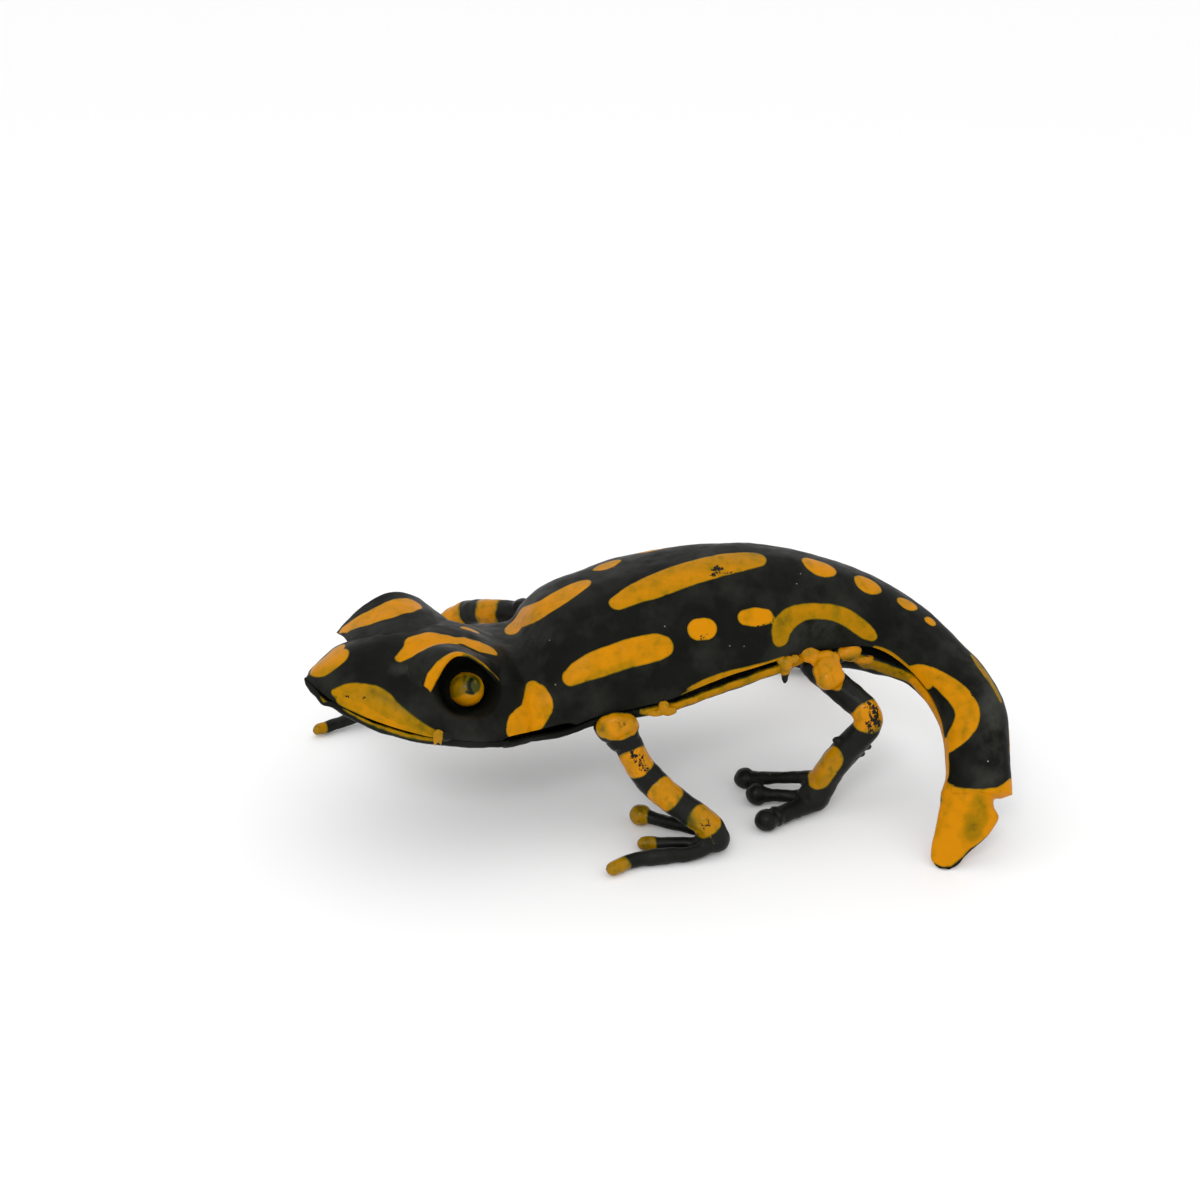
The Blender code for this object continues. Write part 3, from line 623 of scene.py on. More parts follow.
# Touches of olive over the orange, and of grey over the black: amount, chain and how far it fades.
BODY_SHADE = (
    (0.5, ((7.75, 15, 0.8), (7.9, 22, 1.6)), 2.5),
    (0.5, ((7.9, 8, 0.6), (8.35, 4, 0.8)), 2),
    (0.45, ((5.8, 64, 0.8), (6.5, 66, 0.8)), 1.2),
    (0.35, ((8.5, 62, 1), (8.48, 75, 1.2)), 2),
    (-0.4, ((8.7, 58, 0.8), (9.2, 54, 0.8)), 1.6),
    (0.5, ((1.2, 58, 0.6), (1.8, 72, 0.8)), 1.4),
    (0.5, ((0.1, 30, 1), (0.5, 28, 1.2)), 1.6),
    (-0.3, ((4.5, 60, 1.5), (4, 74, 1.5)), 2),
    (0.4, ((4.9, 58, 0.6), (4.85, 72, 0.8)), 1.2),
    (0.5, ((11.3, 70, 0.6), (12, 16, 0.6), (12.6, 34, 0.6)), 1.4),
)
# The grey touches are dust, and some stand for painted sheen and reflections on the black.
BODY_DUST_AND_SHEEN = (
    (1.2, ((8.75, 72, 3), (9.2, 72, 3.5)), 3),
    # painted sheen: grey along the tail's right outline for its grazing reflection
    (1, ((11.2, -20, 3), (12.6, -20, 4), (13.3, -20, 4)), 4),
    (0.5, ((6.2, -50, 3), (8.5, -50, 3)), 6),
    (0.6, ((4.9, 5, 3), (5.5, 30, 3)), 5),
    (0.6, ((3.6, 40, 2), (4.8, 48, 2)), 2.5),
    # painted reflections: grey for the glossy glints in front of the left hood and at the base of the
    # right one
    (1.3, ((1.3, 40, 1), (1.75, 38, 1.5)), 1.8),
    (1, ((1, -25, 1), (1.6, -22, 1.4)), 2),
)


def leaf_point(down, front):
    """Point of the leaf's outer face, from its distance down from the last station and to the front."""
    centre, side, up = spine(len(STATIONS) - 1)[:3]
    rear, fore, bulge = (float(np.interp(down, LEAF_ROWS[:, 0], LEAF_ROWS[:, k])) for k in (1, 2, 3))
    share = min(abs(2 * front - fore + rear) / (fore + rear), 1.0)
    return centre + LEAF_DOWN * down + side * front + up * bulge * math.sqrt(1 - share ** 2)


def build_body(paints):
    """The body's skin, with all its paint; returns its surface for the hoods to stand on."""
    skin = body_skin()
    head = BVHTree.FromBMesh(skin)
    as_sheet(skin, SHEET)
    nodes = ("head_shell", "trunk_shell", "tail_shell", "tail_leaf")
    scratches = [(0, (row[:3], row[3:])) for row in SCRATCHES]
    piece("body_skin", skin, paints["body"], nodes,
          placed(rounded(LEFT_MARKS + RIGHT_MARKS), arch) + placed(BROW_STRIPE, on_head)
          + placed(LEAF_PAINT, leaf_point) + placed(LEAF_TOP),
          bare=placed(LEAF_WEAR, leaf_point), rough=placed(scratches, arch),
          shade=placed(LEAF_SHADE, leaf_point) + placed(rounded(BODY_SHADE), arch),
          dust_and_sheen=placed(rounded(BODY_DUST_AND_SHEEN), arch))
    return head


# ---- eyes and hoods
# Each hood: its side, the edge of its mouth from the front over the ball to the rear, as points of the
# head (behind the snout, to the side, height), and its root on the head (behind the snout, to the side).
HOODS = {
    "left": (1,
             ((24.6, 21.5, 49), (27.1, 21.3, 54.5), (30.1, 20.9, 58.5), (33.4, 20.5, 60.3),
              (37, 20.5, 59.3), (41, 20.8, 56), (44, 21.2, 52), (46.5, 21.5, 47.5)),
             ((21.5, 20), (21, 13), (26, 9), (33, 7.5), (40, 8.5), (46, 12), (50, 18))),
    "right": (-1,
              ((16.5, 20.5, 53.2), (20, 20.5, 55.8), (25, 20.5, 59), (31, 20.5, 61),
               (36, 20.5, 60.6), (41, 20.5, 57.8), (45, 20.8, 53.5), (48, 21, 49)),
              ((15.5, 9), (17.2, 4.5), (19, 0.5), (22, -2), (27, -3.2), (33, -2.5), (39, 1.5),
               (45, 8), (50, 17))),
}
# Stripes on the hoods, given as the stripe on the head.
HOOD_MARKS = {
    "left": (
        (0.1, ((25.2, 20.8, 52.6, 1.4), (27, 20.4, 55.4, 1.9), (29.4, 20.4, 57.9, 2),
               (32, 20.4, 59.8, 1.5), (35.5, 20.4, 60, 0.9))),
        (0.4, ((35.5, 20.6, 60, 0.8), (38.3, 20.6, 58.3, 0.58), (41.5, 20.9, 55.4, 0.5),
               (44.5, 20.8, 51.8, 0.45), (46.6, 20.6, 48.1, 0.4))),
    ),
    "right": (
        (0.1, ((17.2, -18.4, 54.2, 1.2), (19.1, -15.6, 56.6, 2.8), (23.2, -12.8, 59, 3.8),
               (28.2, -11.4, 60.4, 4.5), (32.6, -11.8, 60.7, 4.3), (36, -13.2, 60, 3.4))),
    ),
}
HOOD_LONG, HOOD_WIDE = 72, 40  # a hood's faces along its mouth and from there to the root
ROOT_SINK = 0.5  # how deep the root lies under the head's face
ROOF_RISE = 0.4  # how far the roof rises over the middle between mouth and root
ROOF_FROM = 0.35  # share of the way to the root from which the roof keeps clear of the head
ROOF_CLEAR = 1.2  # by how much
ROOF_COVER = 0.6  # and how deep the sheet goes in where it ends
TUCK_FRONT, TUCK_REAR = 0.08, 0.94  # shares along the mouth outside which its ends are tucked down
TUCK = 1.6  # how far they go down


def lip_point(chain, share):
    """Place on a smooth curve through a chain, at a share of it."""
    table = np.array(chain, float)
    return catmull(table, share * (len(table) - 1))


def surface_height(tree, point):
    """Height of a surface over or under a point."""
    hit = tree.ray_cast(Vector((point.x, point.y, 90)), -UP)[0]
    return hit.z if hit else 0.0


def hood_point(side, mouth, root, head, along, across):
    """Point of a hood: along its mouth from front to rear, and across from the mouth to the root."""
    back, left, height = lip_point(mouth, along)
    edge = on_head(back, side * left, height)
    root_back, root_left = lip_point(root, along)
    end = on_head(root_back, side * root_left, 0)
    end.z = surface_height(head, end) - ROOT_SINK
    turn = on_head(0.65 * back + 0.35 * root_back, side * (0.35 * left + 0.65 * root_left), 0)
    turn.z = max(0.75 * edge.z + 0.25 * end.z, end.z + 0.2) + ROOF_RISE
    point = edge * (1 - across) ** 2 + turn * 2 * across * (1 - across) + end * across ** 2
    if across > ROOF_FROM:
        clear = ROOF_CLEAR * (1 - smooth(0.55, 0.95, across)) - ROOF_COVER
        point.z = max(point.z, surface_height(head, point) + clear)
    tucked = max(1 - along / TUCK_FRONT, (along - TUCK_REAR) / (1 - TUCK_REAR), 0.0)
    full = side > 0 or along > 0.5  # the right hood's front end stays higher
    return point - UP * TUCK * tucked * (1 if full else 0.3)


def build_hoods(paints, head):
    for word, (side, mouth, root) in HOODS.items():
        bm = grid(HOOD_WIDE, HOOD_LONG)
        for v in bm.verts:
            v.co = hood_point(side, mouth, root, head, v.co.y, v.co.x)
        if side > 0:
            bmesh.ops.reverse_faces(bm, faces=bm.faces[:])
        hammer(bm, 0.2, 0.10, offset=side)
        as_sheet(bm, HOOD_SHEET, EDGE)
        piece("hood_" + word, bm, paints["body"], ["eye_hood_" + word],
              placed(HOOD_MARKS[word] + BROW_STRIPE, on_head))


# Direction in which an eye's painted face looks: shares to its side, forward and up.
GAZE = (0.78, 0.45, 0.44)
BACK_IN, LOW_IN = 0.6, 1.0  # how far back and low a ball sits in its socket
EYE_PAINT = 9  # reach of the paint around its middle, which covers it all
# Paint on an eye. Its places are seen along the gaze, to the rear and up, in shares of the radius.
PUPIL_RING = [(0.47 + 0.25 * math.cos(a), 0.27 + 0.42 * math.sin(a)) for a in np.linspace(0, 6.3, 13)]
# Shades: amount, places, half width and how far it fades.
EYE_SHADE = (
    (1.1, ((-0.72, 0.1), (-0.2, 0.3), (0.5, 0.45)), 2.6, 0.45),
    (-0.5, ((-0.6, -0.75), (0.3, -0.85), (0.8, -0.5)), 1.4, 0.8),
    (1.4, PUPIL_RING, 0.35, 0.6),
    (0.7, ((0.46, 0.2), (0.46, 0.3)), 0.7, 0.6),
    (0.7, ((-0.08, 0.85), (-0.03, 0.2)), 0.4, 0.6),
    (-0.5, ((-0.6, 0.2), (-0.45, 0.35)), 0.5, 0.9),
    (0.5, ((-0.5, 0.7), (0.2, 0.9)), 0.5, 0.7),
    (1.2, ((0.15, -0.12), (0.42, -0.2)), 0.25, 0.4),
)
# Black arcs at the pupil: places and half width.
EYE_BLACK = (
    (((0.34, 0.62), (0.22, 0.42), (0.22, 0.15), (0.32, -0.08)), 0.42),
    (((0.1, -0.1), (0.3, -0.18), (0.44, -0.16)), 0.22),
)


def build_eyes(paints):
    for word, side in (("left", 1), ("right", -1)):
        centre = eye_centre(side) + HEAD_BACK * BACK_IN - UP * LOW_IN
        bm = bmesh.new()
        bmesh.ops.create_icosphere(bm, subdivisions=5, radius=BALL_R)
        bmesh.ops.translate(bm, vec=centre, verts=bm.verts[:])
        hammer(bm, 0.1, 0.12, offset=side)
        gaze = (HEAD_LEFT * side * GAZE[0] - HEAD_BACK * GAZE[1] + UP * GAZE[2]).normalized()
        level = UP.cross(gaze).normalized()
        over = gaze.cross(level)

        def touch(places, half):
            """Chain over the ball through places on its painted face."""
            chain = []
            for rear, above in places:
                out = math.sqrt(1 - rear ** 2 - above ** 2)
                offset = gaze * out + level * side * rear + over * above
                chain.append((tuple(centre + offset * BALL_R), half))
            return chain

        piece("eyeball_" + word, bm, paints["eye"], ["eye_" + word],
              [(0.25, [(tuple(centre), EYE_PAINT)] * 2)],
              bare=[(0, touch(places, half)) for places, half in EYE_BLACK],
              shade=[(amount, touch(places, half), fade) for amount, places, half, fade in EYE_SHADE])


# ---- the pans below
PAN_FULLNESS = 3.0  # superellipse power of the pans' sections
PAN_AROUND, PAN_STEP = 64, 0.9  # faces from rim to rim, and spacing of the sections
STATION = 12  # distance between stations that the spacing reckons with
LUMP_DEGREES, LUMP_DROP = 84, -0.35  # place of the lumps near a pan's rim, and how far they hang
# Lip of the jaw, pulled out and down near the snout: place along the body, degrees, radius and push.
LIP = (0.45, 78, 2, (0.6, -0.5, -1.1))


def jaw_depth(s):
    return 2.0 + 2.5 * smooth(at("snout"), at("cheek"), s)


def belly_depth(s):
    return 4.3 + 1.7 * smooth(at("neck"), at("ribs"), s) - smooth(at("back"), at("hip"), s)


def tail_depth(s):
    return 8.5 - 2.5 * smooth(at("hip", 0.3), at("tail_mid"), s)


# Each pan: where it starts and ends, its depth, the place and height of its open slit, and its gap to
# the sheet elsewhere.
PANS = {
    "jaw": (0.0, at("brow", 0.2), jaw_depth, (at("snout", 0.75), at("cheek", 0.15), 0.55), 0.2),
    "belly": (at("brow", 0.2), at("hip", 0.3), belly_depth, (at("shoulder", 0.5), at("hip"), 1.4), 0.8),
    "tail": (at("hip", 0.3), at("tail_low", 0.6), tail_depth, (at("hip", 0.3), at("tail_bend"), 2.4), 0.8),
}
# Runs and lumps of paint on the pans' left rims: place along the body and outward push.
RIM_LUMPS = {
    "jaw": ((1.3, 0.3), (1.75, 0.35)),
    "belly": ((6.5, 0.5), (6.62, 0.3), (7.02, 0.6), (7.3, 0.3), (7.62, 0.55), (7.9, 0.3), (8.3, 0.4)),
    "tail": ((9.75, 0.5), (10.05, 0.7), (10.3, 0.4), (10.62, 0.8), (10.95, 0.5), (11.3, 0.6), (11.8, 0.4),
             (12.3, 0.4)),
}
# Paint along the pans' rims: a tone and a chain of (place along the body, degrees, half width).
PAN_MARKS = {
    "jaw": ((0.9, ((0.85, 90, 0.4), (1.2, 89, 0.8), (1.7, 88, 0.9), (2.1, 88, 0.7))),
            (0.9, ((0.4, 80, 0.7), (0.5, 76, 0.9))),
            (0.9, ((0.9, -90, 0.8), (1.6, -86, 1.3), (2, -88, 0.7)))),
    "belly": ((0.6, ((6.5, 88, 0.9), (6.65, 84, 1.4), (7.2, 84, 1.5), (8, 83, 1.6), (8.75, 84, 1.6))),
              (0.6, ((6.9, -86, 1), (7.8, -82, 1.7), (8.6, -86, 1)))),
    "tail": ((0.9, ((9.6, 88, 1.2), (10, 80, 2.2), (10.6, 80, 2.2), (11.1, 84, 1.9))),
             (0.1, ((11.1, 84, 1.9), (11.8, 84, 2.2), (12.6, 86, 2), (13.5, 88, 1.6)))),
}


def pan_section(word, s):
    """Section of a pan, hanging under the rim of the body's sheet."""
    _start, _end, depth, slit, drop = PANS[word]
    centre, side, up, half, _crown, _fullness = spine(s)
    if slit[0] < s < slit[1]:
        drop += slit[2] * math.sin(math.pi * (s - slit[0]) / (slit[1] - slit[0]))
    blunt = math.sqrt(min(max(s, 0.002) / NOSE_ROUNDING, 1.0))  # never quite a point
    return centre - up * drop * blunt, side, -up, half * blunt, depth(s) * blunt, PAN_FULLNESS


def build_pans(paints):
    for word, (start, end, *_form) in PANS.items():
        def under(s, degrees):
            """Point of the pan's outer face."""
            return section_point(pan_section(word, s), math.radians(degrees))

        places = np.linspace(start, end, int((end - start) * STATION / PAN_STEP) + 1)
        bm = lofted([pan_section(word, s) for s in places], PAN_AROUND)
        bmesh.ops.reverse_faces(bm, faces=bm.faces[:])
        if word == "jaw":
            swell(bm, under(*LIP[:2]), *LIP[2:])
        for k, (s, push) in enumerate(RIM_LUMPS[word]):
            swell(bm, under(s, LUMP_DEGREES), 0.9 + 0.25 * (k % 3), (push, 0, LUMP_DROP))
        hammer(bm, 0.3, 0.2, offset=5.0)
        as_sheet(bm, SHEET)
        piece(word + "_plate", bm, paints["pan"], [word + "_pan"],
              placed(PAN_MARKS[word], under))


# ---- legs, toes and welds
# Axis of each leg's bar, from the body to the foot.
LEGS = {
    "front_left": ((36, 0, 29), (37.5, 2, 24), (40, 5, 19.5), (43.5, 9.5, 15.5),
                   (46.5, 14.5, 12), (49.5, 19.5, 8.5), (51, 21.5, 4.5)),
    "hind_left": ((24, 55.5, 42), (28, 58, 39.5), (33, 62.5, 36), (38, 66.5, 33),
                  (39.5, 68, 29.5), (40, 66, 26), (39, 63.5, 22), (38, 59.5, 16),
                  (37.5, 56.5, 10), (37.5, 54.5, 5)),
    "front_right": ((-20.5, -11, 30), (-26, -19, 38.8), (-33, -28.5, 38), (-38.5, -35, 35),
                    (-42, -42, 28.5), (-42.5, -49, 20), (-41, -55, 11), (-40.5, -58.5, 5)),
    "hind_right": ((-2, 61, 36.5), (-9, 64, 37), (-19, 69, 36), (-27, 73.5, 33),
                   (-32, 76.5, 27), (-35.5, 79.5, 19), (-38.5, 82, 11), (-40, 83.5, 5)),
}
# Toes of each leg: their points from root to tip, shank radius, and whether the tip is a nail's head.
TOES = {
    "front_left": ((((48, 22.5, 4), (32, 2.3, 3.2)), 1.9, True),
                   (((50.5, 20, 3), (47.5, 10, 2.2), (45.5, 2.5, 2)), 1.8, False),
                   (((52, 20, 3.5), (53.5, 14, 2.4), (53, 7, 2.3), (53, -1, 2.3),
                     (55.5, -8, 2.2)), 2.1, False)),
    "hind_left": ((((36, 55, 11), (20.8, 36.2, 3.2)), 1.9, True),
                  (((36.8, 54, 4.5), (28.9, 37.2, 3.2)), 1.9, True),
                  (((38, 53.5, 3.5), (44.2, 35.7, 3.2)), 2.6, True)),
    "front_right": ((((-40.7, -60, 5.1), (-37.8, -71.5, 3.1), (-34.8, -81.4, 2.2)), 1.9, False),
                    (((-41.5, -60.5, 3.5), (-47, -67, 2.2), (-50.5, -70, 2)), 1.8, False),
                    (((-42.5, -58.5, 3.5), (-51, -61.5, 2.3), (-57, -63.5, 2.2)), 2.1, False)),
    "hind_right": ((((-40.5, 82, 4), (-49, 67.5, 3.2)), 1.9, True),
                   (((-42, 83, 3.5), (-50, 78, 2.2), (-57.5, 73.5, 2)), 1.8, False),
                   (((-42.5, 85, 4), (-61, 85, 3.2)), 1.9, True)),
}
# Blobs of weld metal on each leg: x, y and z of the centre, and three radii.
BLOBS = {
    "front_left": ((36.3, -3.3, 34.6, 3.9, 5.9, 4.4), (36, -1.6, 31, 3.9, 4.6, 4.2),
                   (50.5, 20.5, 5, 4.4, 4.2, 4.4)),
    "hind_left": ((28.8, 53.2, 46.4, 2.2, 3, 2.4), (30.6, 57.6, 45, 3.2, 4.2, 3),
                  (32.8, 57.2, 43.4, 3.2, 4.2, 3.6), (34.4, 57.6, 41.4, 2.9, 4.4, 3.2),
                  (27.6, 66, 45, 2.2, 3.2, 2.6),
                  (38.4, 59.4, 23.8, 1, 1.3, 0.9), (40.3, 68, 21.6, 1.1, 1.4, 1.1),
                  (39.7, 66.6, 19.2, 0.9, 1.2, 0.9),
                  (27.8, 70, 42.4, 1.2, 3, 1.3), (27.2, 62, 44.6, 2.4, 4, 2.6),
                  (37, 54, 6.5, 4, 4.2, 4)),
    "front_right": ((-24, -13.5, 41.5, 4.2, 5, 4.2), (-26, -18.5, 42.6, 2.6, 3, 2.2),
                    (-22, -8.5, 43, 2.6, 2.8, 2), (-40.5, -59.5, 5, 4.2, 4.2, 4.4)),
    "hind_right": ((-8, 60.5, 40.5, 4.6, 5.5, 5.5), (-41, 83.5, 5, 4.2, 4.2, 4.4)),
}
# Bands round the bars: tone, start and end along the bar, and the brush's reach, which adds a little at
# each end. The left legs were painted from outside, so their bands lean that way.
LEAN = Vector((1.05, -0.22, 0.52))
LEG_BANDS = {
    "front_left": ((0.1, 5.3, 6, 4.7), (0.2, 17.4, 18, 4.7), (0.6, 30.2, 30.8, 4.7)),
    "hind_left": ((0.15, 22.6, 23, 4.75),),
    "front_right": ((0.1, 34.6, 48, 4.6), (0.4, 21.8, 24.4, 4.7)),
    "hind_right": ((0.2, 16, 21, 4.6), (0.4, 34, 39, 4.6), (0.3, 52, 56, 4.6)),
}
# Other paint on the legs: tone and chain of (x, y, z, half width).
LEG_MARKS = {
    "front_left": (
        (0.2, ((38.4, -6.6, 36, 3.2), (39.6, -3.8, 36, 4.3), (38.8, 0.2, 36.2, 3.5))),
        (0.9, ((32.5, 3, 3, 4.4), (33.6, 4.4, 3, 3.9))),
        (0.9, ((45.5, 1.5, 2, 3.4), (46.2, 3.6, 2, 2.9))),
        (0.9, ((55.8, -10, 2, 3.6), (55, -6, 2, 3))),
        (0.3, ((53.8, 19, 7.9, 0.35), (54.6, 20, 5.4, 0.2))),
    ),
    "hind_left": (
        (0.1, ((30, 52.5, 47, 3.2), (31, 58.3, 46.5, 3.8), (34.4, 57.2, 44, 4.3),
               (36.5, 57.6, 41.4, 4.2))),
        (0.2, ((28.8, 64, 46, 2.4), (29.2, 66, 45.2, 3.2), (28.8, 71, 42.5, 2))),
        (0.6, ((40.4, 57.6, 19.4, 3.5), (39.2, 53.8, 13.6, 4.4))),
    ),
    "front_right": (
        (0.9, ((-34.8, -82.4, 2.2, 3.2), (-35, -81.2, 2.4, 2.9))),
    ),
    "hind_right": (
        (0.2, ((-8.5, 59, 42.5, 4.6), (-10, 62, 42.5, 4.6))),
        (0.5, ((-61, 85, 3, 4.2), (-59.4, 85, 3, 3.9))),
    ),
}
# Touches of olive and of grey on the legs, as on the body; the grey stands for painted glints of light
# along the bars, with some dust.
LEG_SHADE = {
    "front_left": (
        (1.3, ((49.4, 12.6, 13.6, 1.8), (50.6, 14, 10.8, 1.8)), 1.6),
        (1, ((47, 9.2, 19.6, 0.8), (48.4, 12.6, 17, 0.8)), 1.5),
        (1.2, ((39.6, -8.6, 36.8, 1.4), (40.8, -6.4, 33.4, 1)), 1.4),
    ),
    "hind_left": (
        (1.3, ((43.2, 69.8, 30, 1.6), (42.6, 68.6, 26, 1.6)), 1.4),
        (1.1, ((31.5, 51.5, 48, 1.5), (31, 54, 49, 1)), 1.4),
        (1, ((36.2, 53.8, 43.2, 0.8), (38, 54.4, 40.2, 0.8)), 1.2),
        (1.2, ((31, 69, 45, 1.2), (30, 64, 44, 1)), 1.6),
        (0.7, ((41.4, 53, 13, 1), (43, 56, 16, 0.4)), 1.6),
    ),
}
# painted glints: grey along the bars standing for glints of light, with some dust
LEG_DUST_AND_SHEEN = {
    "front_left": ((1.2, ((41, 0.5, 31.5, 0.8), (43.5, 6, 24, 0.8), (47, 11.5, 18, 0.8)), 2),),
    "hind_left": ((1.4, ((37, 62, 40.5, 1), (41.5, 66, 36.5, 1)), 2.4),),
}
# Scratches through the bands: chains of (x, y, z, half width).
LEG_SCRATCHES = {
    "front_left": (
        ((40.4, 0, 28.6, 1), (41.2, 1.3, 26.6, 1.3), (41.8, 2.4, 25.2, 1.2), (42.4, 4, 23.9, 1)),
        ((40.2, 2.6, 27.4, 0.5), (41, 3.6, 25.4, 0.7)),
        ((52.4, 17.6, 10.4, 0.8), (52.8, 18.8, 10.9, 0.8)),
        ((39.6, -3, 37.6, 0.7), (39.9, -2.6, 36.9, 0.8)),
    ),
    "hind_left": (
        ((40.5, 66.8, 36, 1.1), (41.6, 68.4, 34.4, 1.5), (42.8, 68.2, 32.2, 1.5), (43.2, 69.4, 30.4, 1.3)),
        ((43.7, 67.5, 28.8, 1.2), (43.2, 67, 30.6, 1)),
    ),
}
FUSE, BEAD_FUSE = 0.42, 0.2  # grain of the fused metal of legs and of beads
FUSE_PASSES = 3  # how often it is smoothed
LUMPINESS = 0.16  # share by which a blob differs from an ellipsoid
ON_FLOOR = 0.02  # height of the lowest metal over the floor
AXIS_STEP = 0.25  # spacing of the places along a bar at which bands can start
PATH_SAMPLES = 300  # places between which a path's length is measured


def round_bar(bm, path, radii, sides=28):
    """Closed round bar along a path of points, with a radius at each."""
    rings = grid(sides, len(path) - 1)
    frames = []
    normal = None
    for i, point in enumerate(path):
        along = (path[min(i + 1, len(path) - 1)] - path[max(i - 1, 0)]).normalized()
        normal = along.orthogonal() if normal is None else normal
        normal = (normal - along * normal.dot(along)).normalized()
        frames.append((point, normal, along.cross(normal)))
    for v in rings.verts:
        i = round(v.co.y * (len(path) - 1))
        point, across, over = frames[i]
        turn = 2 * math.pi * v.co.x
        v.co = point + (across * math.cos(turn) + over * math.sin(turn)) * radii[i]
    bmesh.ops.remove_doubles(rings, verts=rings.verts[:], dist=0.005)
    bmesh.ops.holes_fill(rings, edges=[e for e in rings.edges if e.is_boundary], sides=0)
    bmesh.ops.recalc_face_normals(rings, faces=rings.faces[:])
    part = mesh_of("part", rings)
    bm.from_mesh(part)
    bpy.data.meshes.remove(part)


def domed(path, radius):
    """A bar's path and radii with a rounded end added."""
    along = (path[-1] - path[-2]).normalized()
    turns = np.radians((25, 45, 60, 72, 82))
    return (list(path) + [path[-1] + along * radius * math.sin(a) for a in turns],
            [radius] * len(path) + [radius * math.cos(a) for a in turns])


def smooth_path(points, spacing=0.8):
    """Points evenly spaced along a smooth curve through the given ones."""
    table = np.array(points, float)
    dense = np.array([catmull(table, s) for s in np.linspace(0, len(points) - 1, PATH_SAMPLES)])
    run = travelled(dense)
    wanted = np.linspace(0, run[-1], max(int(run[-1] / spacing), 4) + 1)
    return [Vector([float(np.interp(d, run, dense[:, k])) for k in range(3)]) for d in wanted]


def add_toe(bm, points, radius, nail):
    """Toe of bent wire, or a straight nail with a round head."""
    if not nail:
        round_bar(bm, *domed(smooth_path(points), radius))
        return
    root, tip = Vector(points[0]), Vector(points[-1])
    run = (tip - root).normalized()
    middle = (tip - root).length - NAIL_HEAD_R + 0.4
    stops = [(0.0, radius), (middle - 4.6, radius), (middle - 3.2, radius * 1.15)]
    stops += [(middle + NAIL_HEAD_R * math.sin(a), NAIL_HEAD_R * math.cos(a))
              for a in np.radians((-48, -30, -12, 6, 24, 42, 58, 72, 84))]
    round_bar(bm, [root + run * d for d, _r in stops], [r for _d, r in stops])


def add_blob(bm, centre, radii, seed):
    """Lumpy ellipsoid; the seed chooses its lumps."""
    made = bmesh.ops.create_icosphere(bm, subdivisions=4, radius=1.0)["verts"]
    for v in made:
        x, y, z = v.co
        lump = 1 + LUMPINESS * noise.noise(v.co * 1.6 + Vector((seed, 0, 0)))
        v.co = Vector((x * radii[0], y * radii[1], z * radii[2])) * lump + centre


def fused(bm, grain_size):
    """One closed surface around all the bodies in a bmesh, softened as molten metal is."""
    mesh = mesh_of("fused", bm)
    obj = linked("fused", mesh)
    remesh = obj.modifiers.new("fuse", "REMESH")
    remesh.mode = "VOXEL"
    remesh.voxel_size = grain_size
    made = obj.evaluated_get(bpy.context.evaluated_depsgraph_get()).to_mesh()
    bm = bmesh.new()
    bm.from_mesh(made)
    bpy.data.objects.remove(obj)
    bpy.data.meshes.remove(mesh)
    smoothed(bm, bm.verts[:], FUSE_PASSES)
    return bm


def build_legs(paints):
    for seed, (word, points) in enumerate(LEGS.items()):
        bm = bmesh.new()
        round_bar(bm, *domed(smooth_path(points), BAR_R))
        for toe in TOES[word]:
            add_toe(bm, *toe)
        for x, y, z, *radii in BLOBS[word]:
            add_blob(bm, Vector((x, y, z)), radii, seed)
        bm = fused(bm, FUSE)
        hammer(bm, 0.35, 0.22, offset=10.0 * seed)
        for v in bm.verts:
            v.co.z = max(v.co.z, ON_FLOOR)
        end, side = word.split("_")
        joint = "weld_shoulder_" if end == "front" else "weld_hip_"
        nodes = ["leg_" + word, joint + side] + ["toe_%s_%d" % (word, k) for k in (1, 2, 3)]
        lean = LEAN if side == "left" else Vector()
        axis = [point + lean for point in smooth_path(points, AXIS_STEP)]
        bands = [(tone, [(tuple(axis[int(place / AXIS_STEP)]), half) for place in (start, stop)])
                 for tone, start, stop, half in LEG_BANDS[word]]
        scratches = [(0, chain) for chain in LEG_SCRATCHES.get(word, ())]
        piece("leg_and_foot_" + word, bm, paints["bar"], nodes,
              bands + placed(LEG_MARKS[word]), rough=placed(scratches),
              shade=placed(LEG_SHADE.get(word, ())),
              dust_and_sheen=placed(LEG_DUST_AND_SHEEN.get(word, ())))


# ---- beads of weld along the seam
# Each bead: its place along the body, then its lumps: offset forward, outward and up from the rim, and
# radii along, across and up. Then the stroke of black on it: offsets and half widths.
BEADS = (
    (2.1, ((0, 0.5, 0.9, 1.5, 1.2, 1.9), (0.9, 0.8, -0.6, 0.55, 0.6, 1.2),
           (-0.6, 0.8, -0.7, 0.5, 0.6, 1.3), (-2.4, 0.4, 0.2, 1.9, 1.2, 1.6)),
     ((-3, 0, 0, 2.2), (-3.2, 0, -2, 2.2))),
    (6.84, ((0.2, 0.5, -1.6, 1.5, 1.2, 2), (-1.4, 0.4, -3, 2.2, 1.3, 1.3),
            (2.4, 0.3, -3.2, 2.6, 1, 1)), ()),
    (8.55, ((0, 0.4, -1.8, 2.2, 1.6, 2.4), (-2.2, 0.3, -0.2, 1.6, 1.2, 1.2),
            (1.8, 0.3, -0.6, 1.1, 1, 1.1), (0.2, 0.3, -4.2, 1.5, 1.2, 1.7),
            (0.3, 0.3, -5.7, 1.05, 0.9, 2)),
     ((0, 0, -6.1, 1.6), (0, 0, -8.1, 1.8))),
)
BEAD_PAINT = 12  # reach of the paint around a bead's place, which covers it all


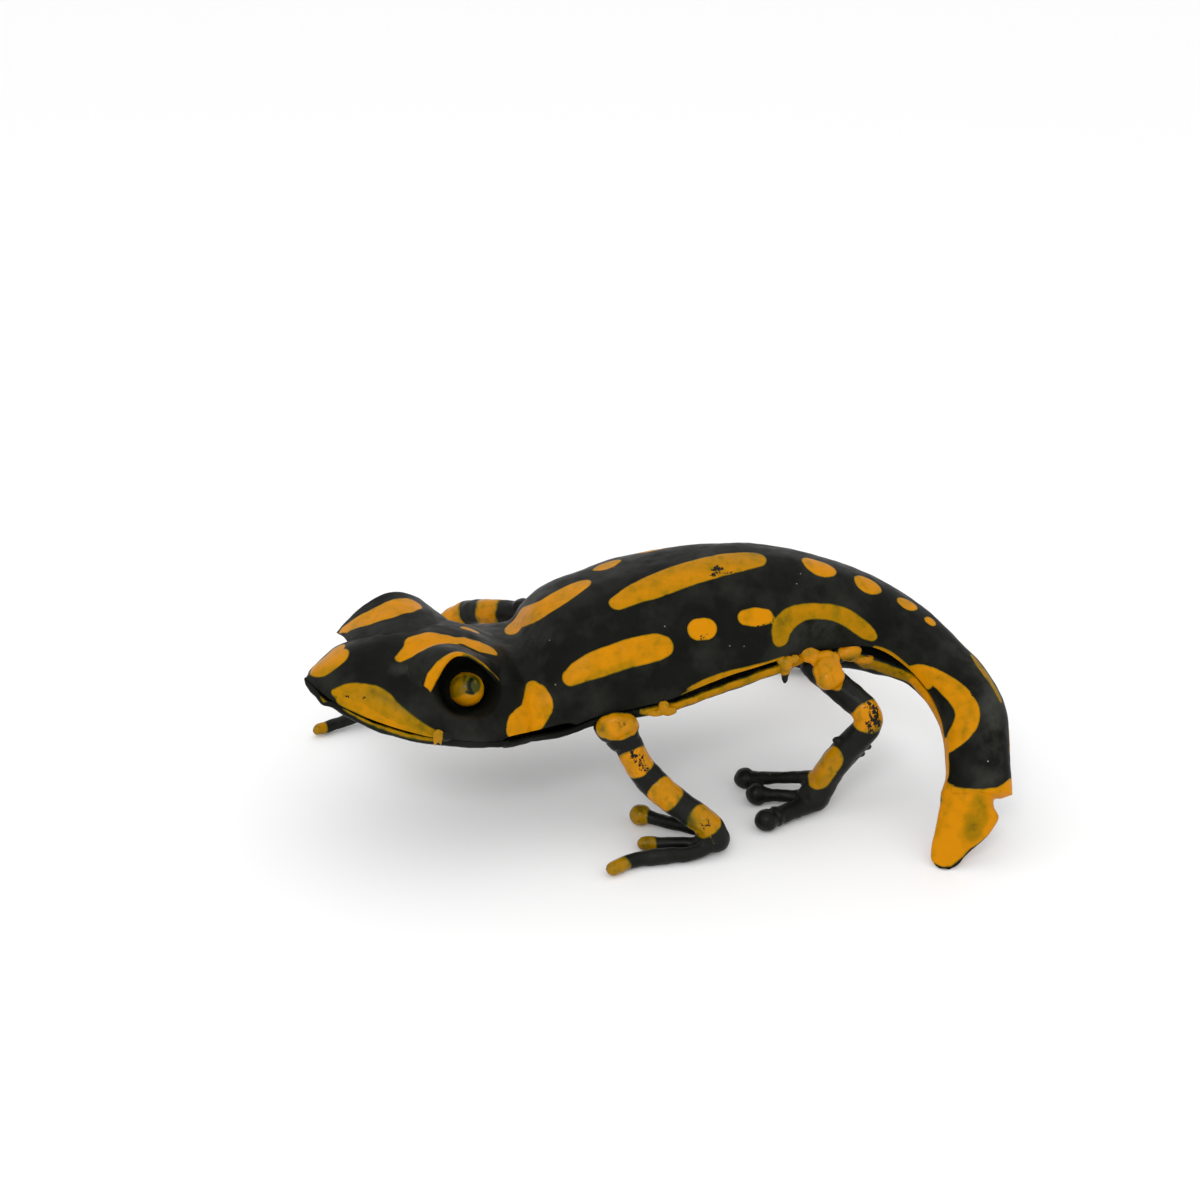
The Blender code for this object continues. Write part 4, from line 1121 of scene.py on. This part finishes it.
def build_beads(paints):
    for word, side in (("left", 1), ("right", -1)):
        for number, (s, lumps, black) in enumerate(BEADS, 1):
            centre, left, _up, half, _crown, _fullness = spine(s)
            rim = centre + left * side * half
            ahead = Vector((left.y, -left.x, 0))

            def at_rim(forward, out, up):
                """Point given by its offsets from the rim."""
                return rim + ahead * forward + left * side * out + UP * up

            bm = bmesh.new()
            for forward, out, up, along, across, tall in lumps:
                add_blob(bm, at_rim(forward, out, up), (across, along, tall), number + side)
            bm = fused(bm, BEAD_FUSE)
            hammer(bm, 0.2, 0.25, offset=7.0 * number + side)
            piece("seam_bead_%s_%d" % (word, number), bm, paints["weld"],
                  ["seam_weld_%s_%d" % (word, number)], [(0.55, [(tuple(rim), BEAD_PAINT)] * 2)],
                  bare=placed([(0, black)] if black else (), at_rim))


# ---- camera, light and floor
VIEW_AZIMUTH = math.radians(78)
VIEW_PITCH = math.radians(26)
VIEW_DISTANCE = 470.0
VIEW_HEIGHT = 55.0  # height of the point that the camera looks at
LENS, SENSOR = 49.5, 36.0
SKY = 1.06  # strength of the even white light from all around


def build_stage():
    target = Vector((-CENTRE[0], -CENTRE[1], VIEW_HEIGHT)) * MM
    level = Vector((math.sin(VIEW_AZIMUTH), -math.cos(VIEW_AZIMUTH), 0)) * math.cos(VIEW_PITCH)
    back = level + UP * math.sin(VIEW_PITCH)
    data = bpy.data.cameras.new("camera")
    data.lens = LENS
    data.sensor_width = SENSOR
    data.clip_start = 0.01
    camera = linked("camera", data)
    camera.location = target + back * VIEW_DISTANCE * MM
    camera.rotation_euler = (math.pi / 2 - VIEW_PITCH, 0, VIEW_AZIMUTH)
    bpy.context.scene.camera = camera

    world = bpy.data.worlds.new("studio")
    bpy.context.scene.world = world
    world.use_nodes = True
    background = world.node_tree.nodes["Background"].inputs
    fill(world.node_tree, background, {"Color": (1, 1, 1, 1), "Strength": SKY})

    light = bpy.data.lights.new("softbox", "AREA")
    light.shape = "RECTANGLE"
    light.size, light.size_y = 0.3, 0.22
    light.energy = 2.5
    softbox = linked("softbox", light)
    softbox.location = (0.75, -0.35, 0.8)
    aim = UP * 0.03 - softbox.location
    softbox.rotation_euler = aim.to_track_quat("-Z", "Y").to_euler()

    bm = bmesh.new()
    bmesh.ops.create_grid(bm, x_segments=1, y_segments=1, size=6.0)
    mesh = mesh_of("floor", bm)
    pale = bpy.data.materials.new("pale floor")
    pale.use_nodes = True
    shader = pale.node_tree.nodes["Principled BSDF"].inputs
    fill(pale.node_tree, shader, {"Base Color": (0.92, 0.92, 0.92, 1), "Roughness": 0.9})
    mesh.materials.append(pale)
    linked("floor", mesh)


def build_paints():
    groups = (brushed_marking(), dust_and_sheen_film())
    return {
        "body": enamel("body enamel", groups, gloss=0.42, lumps=0.05, wobble=0.5, dust=0.6),
        "pan": enamel("pan enamel", groups, gloss=0.45, lumps=0.08, wobble=0.7, dust=0.3),
        "eye": enamel("eye enamel", groups, gloss=0.3, lumps=0.08, wobble=0.3, dust=0.2, shine=0.12),
        "bar": enamel("bar enamel", groups, gloss=0.36, lumps=0.12, wobble=0.8, dust=0.3, shine=0.12,
                      wet=0.24),
        "weld": enamel("weld enamel", groups, gloss=0.3, lumps=0.14, wobble=0.9, dust=0.1, shine=0.12,
                       wet=0.18),
    }


build_stage()
bpy.context.scene.view_settings.view_transform = "Standard"
PAINTS = build_paints()
HEAD = build_body(PAINTS)
build_hoods(PAINTS, HEAD)
build_eyes(PAINTS)
build_pans(PAINTS)
build_legs(PAINTS)
build_beads(PAINTS)
